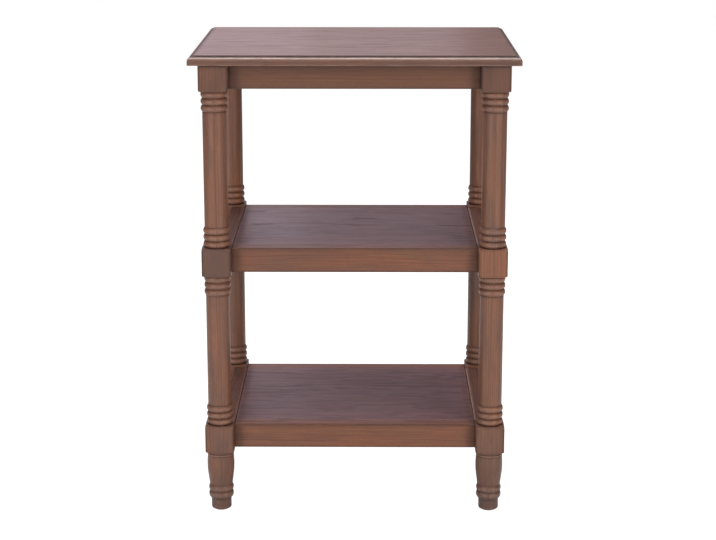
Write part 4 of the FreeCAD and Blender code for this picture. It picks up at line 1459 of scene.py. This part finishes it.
    def cut(self, turning: Turning, corner: str, place: LogPlace) -> None:
        """Turn one piece of a leg.

        Args:
            turning: Which of the three pieces it is.
            corner: The corner of the table that it stands at.
            place: Where it lay in the log.
        """
        node = f"{turning.value}_{corner}"
        low, high = box_of(node)
        middle = (low + high)[:2] / 2
        shouldered = turning is not Turning.UPPER
        block_low = high[2] - (self.shelf_block if shouldered else self.top_block)
        length = block_low - low[2]
        look = LEG_LOOKS[turning, corner]
        rows = self.foot_rows(length) if turning is Turning.FOOT else self.column_rows(length, look.glaze)
        stack = RingStack()
        self.lay_turning(stack, rows, middle, low[2], look)
        stack.tint = look.block
        self.lay_block(stack, middle, block_low, high[2], rows[-1].radius, shouldered)
        add_piece(stack, node, self.finish, place)


# The table


class Sawn(Enum):
    """How far from the log's heart a kind of piece was sawn, across its face and through it."""

    TOP = (20, -600)
    MIDDLE_PANEL = (-40, -300)
    LOWER_PANEL = (60, -300)
    APRON = (90, -560)
    SHELF_RAIL = (90, -240)
    LEG = (60, 45)


class AccentTable:
    """The whole table, piece by piece. The reaches are how far chance moves a piece along and across its log."""

    log_reach: int = 4000
    saw_reach: int = 14
    seed: int = 11

    def __init__(self, finishes: Finishes) -> None:
        """Set up the makers.

        Args:
            finishes: The table's finishes.
        """
        self.finishes = finishes
        self.top = TopMaker(finishes.top, "top_wood")
        self.panel = PanelMaker(finishes.shelf, "shelf_wood")
        # The aprons carry a stronger painted shadow under the top and less painted shade by the blocks.
        self.apron = RailMaker(
            finishes.rail, joint_glaze=0.75, joint_reach=2.4, shade_glaze=0.2, shade_reach=6.0,
            upper_glaze=1.0, upper_reach=4.5,
        )
        self.rail = RailMaker(finishes.rail)
        self.turner = LegTurner(finishes.leg)
        self.chance = np.random.default_rng(self.seed)

    def place(self, grain: Grain, sawn: Sawn) -> LogPlace:
        """A place in the log, each time a different stretch of it.

        Args:
            grain: Which way the fibres run.
            sawn: How far from the heart such a piece lay.

        Returns:
            The place, with a little chance in every direction.
        """
        along = float(self.chance.uniform(-self.log_reach, self.log_reach))
        shift = self.chance.uniform(-self.saw_reach, self.saw_reach, 2)
        across, through = sawn.value
        return LogPlace(grain, along, across + float(shift[0]), through + float(shift[1]))

    def cut_boards(self) -> None:
        """Cut the top and the shelf panels."""
        self.top.cut("table_top", self.place(Grain.ALONG_X, Sawn.TOP))
        self.panel.cut("middle_shelf_panel", self.place(Grain.ALONG_X, Sawn.MIDDLE_PANEL))
        self.panel.cut("lower_shelf_panel", self.place(Grain.ALONG_X, Sawn.LOWER_PANEL), tint=-0.3)

    def cut_rails(self) -> None:
        """Plane the aprons and the shelf rails."""
        for side, grain in SIDE_GRAINS.items():
            self.apron.cut(f"apron_{side}", self.place(grain, Sawn.APRON), APRON_LOOK)
            for shelf in SHELF_NAMES:
                place = self.place(grain, Sawn.SHELF_RAIL)
                self.rail.cut(f"{shelf}_rail_{side}", place, SHELF_RAIL_LOOKS[shelf, side])

    def turn_legs(self) -> None:
        """Turn the three pieces of each leg."""
        for turning in Turning:
            for corner in CORNER_NAMES:
                self.turner.cut(turning, corner, self.place(Grain.ALONG_Z, Sawn.LEG))

    def dress_packed(self) -> None:
        """Give the pieces that stay as packed their finishes."""
        finishes = self.finishes
        dressed: dict[str, bpy.types.Material] = {"foot_glides": finishes.glide}
        for corner in CORNER_NAMES:
            dressed[f"corner_brace_{corner}"] = finishes.inner[Grain.ALONG_X]
        for shelf in SHELF_NAMES:
            for side, grain in SIDE_GRAINS.items():
                dressed[f"{shelf}_cleat_{side}"] = finishes.inner[grain]
            dressed[f"{shelf}_rail_dowels"] = finishes.dowel
            dressed[f"{shelf}_rail_cleat_screws"] = finishes.steel
            dressed[f"{shelf}_panel_screws"] = finishes.steel
        dressed |= {"apron_dowels": finishes.dowel, "brace_screws": finishes.steel, "top_screws": finishes.steel}
        for joint in ("upper", "lower"):
            dressed[f"{joint}_joint_studs"] = finishes.steel
            dressed[f"{joint}_joint_inserts"] = finishes.brass
        for node, material in dressed.items():
            for material_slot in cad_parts[node].material_slots:
                material_slot.material = material
            logger.info("%s: %s", node, material.name)

    def build(self) -> None:
        """Make every piece."""
        self.cut_boards()
        self.cut_rails()
        self.turn_legs()
        self.dress_packed()


# The studio


class Light(Enum):
    """What a lamp's light does: everything, the matt part of a surface's look alone, or its sheen alone."""

    WHOLE = "whole"
    MATT = "matt"
    SHEEN = "sheen"


@dataclass(frozen=True)
class Lamp:
    """A soft box."""

    name: str
    place_m: tuple[float, float, float]
    aim_m: tuple[float, float, float]
    width_m: float
    height_m: float
    watts: float
    colour: tuple[float, float, float] = (1.0, 1.0, 1.0)
    light: Light = Light.WHOLE


@dataclass
class Studio:
    """The pale floor, the white surroundings, the soft lamps and the camera."""

    room_tone: tuple[int, int, int] = (216, 196, 222)
    room_glow: float = 0.12
    bright_side: tuple[float, float, float] = (-0.3, 0.1, 0.95)
    darkest: float = -0.8
    floor_tone: tuple[int, int, int] = (196, 196, 196)
    seen_floor_tone: tuple[int, int, int] = (130, 130, 130)
    floor_glow: float = 0.98
    mirrored_white: float = 0.15
    floor_width_m: float = 14.0
    camera_place_m: tuple[float, float, float] = (0.0208, -2.6037, 0.9749)
    camera_pitch: float = math.radians(13.6)
    camera_yaw: float = 0.0066
    camera_sensor: float = 36.0
    camera_lens: float = 89.18
    camera_shift: float = -0.02
    lamps: tuple[Lamp, ...] = (
        Lamp("left_softbox", (-1.75, -2.25, 1.15), (0.0, 0.0, 0.3), 1.0, 1.9, 44.9, light=Light.MATT),
        Lamp("right_softbox", (1.55, -2.15, 1.05), (0.0, 0.0, 0.3), 0.9, 1.8, 44.5, light=Light.MATT),
        Lamp("left_sheen", (-1.9, -2.4, 0.95), (0.0, 0.0, 0.5), 1.8, 1.8, 21.0, light=Light.SHEEN),
        Lamp("right_sheen", (1.9, -2.4, 0.95), (0.0, 0.0, 0.5), 1.8, 1.8, 16.5, light=Light.SHEEN),
        Lamp("overhead_softbox", (0.05, -0.1, 2.6), (0.05, -0.1, 0.6), 1.5, 1.8, 75.4),
        Lamp("back_card", (-0.58, 1.7, 1.26), (0.0, 0.0, 0.66), 1.85, 0.9, 2.7, CARD_COLOUR),
        Lamp("high_back_card", (-0.7, 1.5, 2.1), (0.0, 0.0, 0.45), 1.4, 0.8, 3.0, CARD_COLOUR),
        Lamp("low_back_card", (-0.7, 1.7, 0.7), (0.0, 0.0, 0.5), 1.2, 0.5, 0.9, CARD_COLOUR),
        Lamp("back_fill", (-0.3, 2.6, 2.2), (0.0, 0.0, 0.35), 1.8, 1.0, 27.0, light=Light.MATT),
    )

    def shown_white(self, sheet: NodeSheet) -> Socket:
        """How much of the picture's white background a ray meets.

        Args:
            sheet: The nodes of the world or the floor.

        Returns:
            1 for what the camera sees, straight on or through glass, and a share for a reflection.
        """
        path = sheet.node("ShaderNodeLightPath")
        straight = sheet.math("MAXIMUM", path.outputs["Is Camera Ray"], path.outputs["Is Transmission Ray"])
        mirrored = sheet.math("MULTIPLY", path.outputs["Is Glossy Ray"], self.mirrored_white)
        return sheet.math("MAXIMUM", straight, mirrored)

    def light_world(self) -> None:
        """A soft pale room that is brighter above and to the left, and a white background."""
        world = bpy.data.worlds.new("white_studio")
        bpy.context.scene.world = world
        world.use_nodes = True
        sheet = NodeSheet(world.node_tree)
        way = sheet.node("ShaderNodeTexCoord").outputs["Generated"]
        toward = sheet.vector("DOT_PRODUCT", way, self.bright_side)
        room = sheet.math("MULTIPLY", sheet.ramp(toward, self.darkest, 1.0), self.room_glow)
        seen = self.shown_white(sheet)
        missing = sheet.math("SUBTRACT", 1.0, room)
        sheet.fill(world.node_tree.nodes["Background"], {
            "Color": sheet.blend(seen, tone(*self.room_tone), WHITE),
            "Strength": sheet.math("MULTIPLY_ADD", seen, missing, room),
        })

    def lay_floor(self) -> None:
        """A pale floor that looks white and still keeps the table's shadow."""
        half = self.floor_width_m / 2
        mesh = bpy.data.meshes.new("studio_floor")
        corners = [(-half, -half, 0.0), (half, -half, 0.0), (half, half, 0.0), (-half, half, 0.0)]
        mesh.from_pydata(corners, [], [(0, 1, 2, 3)])
        sheet = MaterialSheet("pale_floor")
        seen = self.shown_white(sheet)
        mesh.materials.append(sheet.surface({
            "Base Color": sheet.blend(seen, tone(*self.floor_tone), tone(*self.seen_floor_tone)),
            "Roughness": 1.0,
            "Specular IOR Level": 0.0,
            "Emission Color": WHITE,
            "Emission Strength": sheet.math("MULTIPLY", seen, self.floor_glow),
        }))
        add_object("studio_floor", mesh)

    def hang_lamps(self) -> None:
        """Hang the soft boxes."""
        for lamp in self.lamps:
            light = bpy.data.lights.new(lamp.name, "AREA")
            light.shape = "RECTANGLE"
            light.size, light.size_y = lamp.width_m, lamp.height_m
            light.energy = lamp.watts
            light.color = lamp.colour
            holder = add_object(lamp.name, light)
            holder.visible_camera = False
            holder.visible_diffuse = lamp.light is not Light.SHEEN
            holder.visible_glossy = lamp.light is not Light.MATT
            holder.location = lamp.place_m
            aim = np.array(lamp.aim_m) - np.array(lamp.place_m)
            flat = math.hypot(aim[0], aim[1])
            holder.rotation_euler = (math.atan2(flat, -aim[2]), 0.0, math.atan2(-aim[0], aim[1]))

    def stand_camera(self) -> None:
        """Stand the camera where the photograph was taken from."""
        lens = bpy.data.cameras.new("camera")
        lens.sensor_width = self.camera_sensor
        lens.lens = self.camera_lens
        lens.shift_y = self.camera_shift
        camera = add_object("camera", lens)
        camera.location = self.camera_place_m
        camera.rotation_euler = (math.pi / 2 - self.camera_pitch, 0.0, self.camera_yaw)
        bpy.context.scene.camera = camera

    def build(self) -> None:
        """Set up the studio."""
        self.light_world()
        self.lay_floor()
        self.hang_lamps()
        self.stand_camera()
        bpy.context.scene.view_settings.view_transform = "Standard"


def write_sizes() -> None:
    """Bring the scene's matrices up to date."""
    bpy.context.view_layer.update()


def main() -> None:
    """Build the studio and the table."""
    logging.basicConfig(level=logging.INFO, format="%(name)s: %(message)s")
    Studio().build()
    AccentTable(Finishes(SharedEffects())).build()
    write_sizes()


if __name__ == "__main__":
    main()
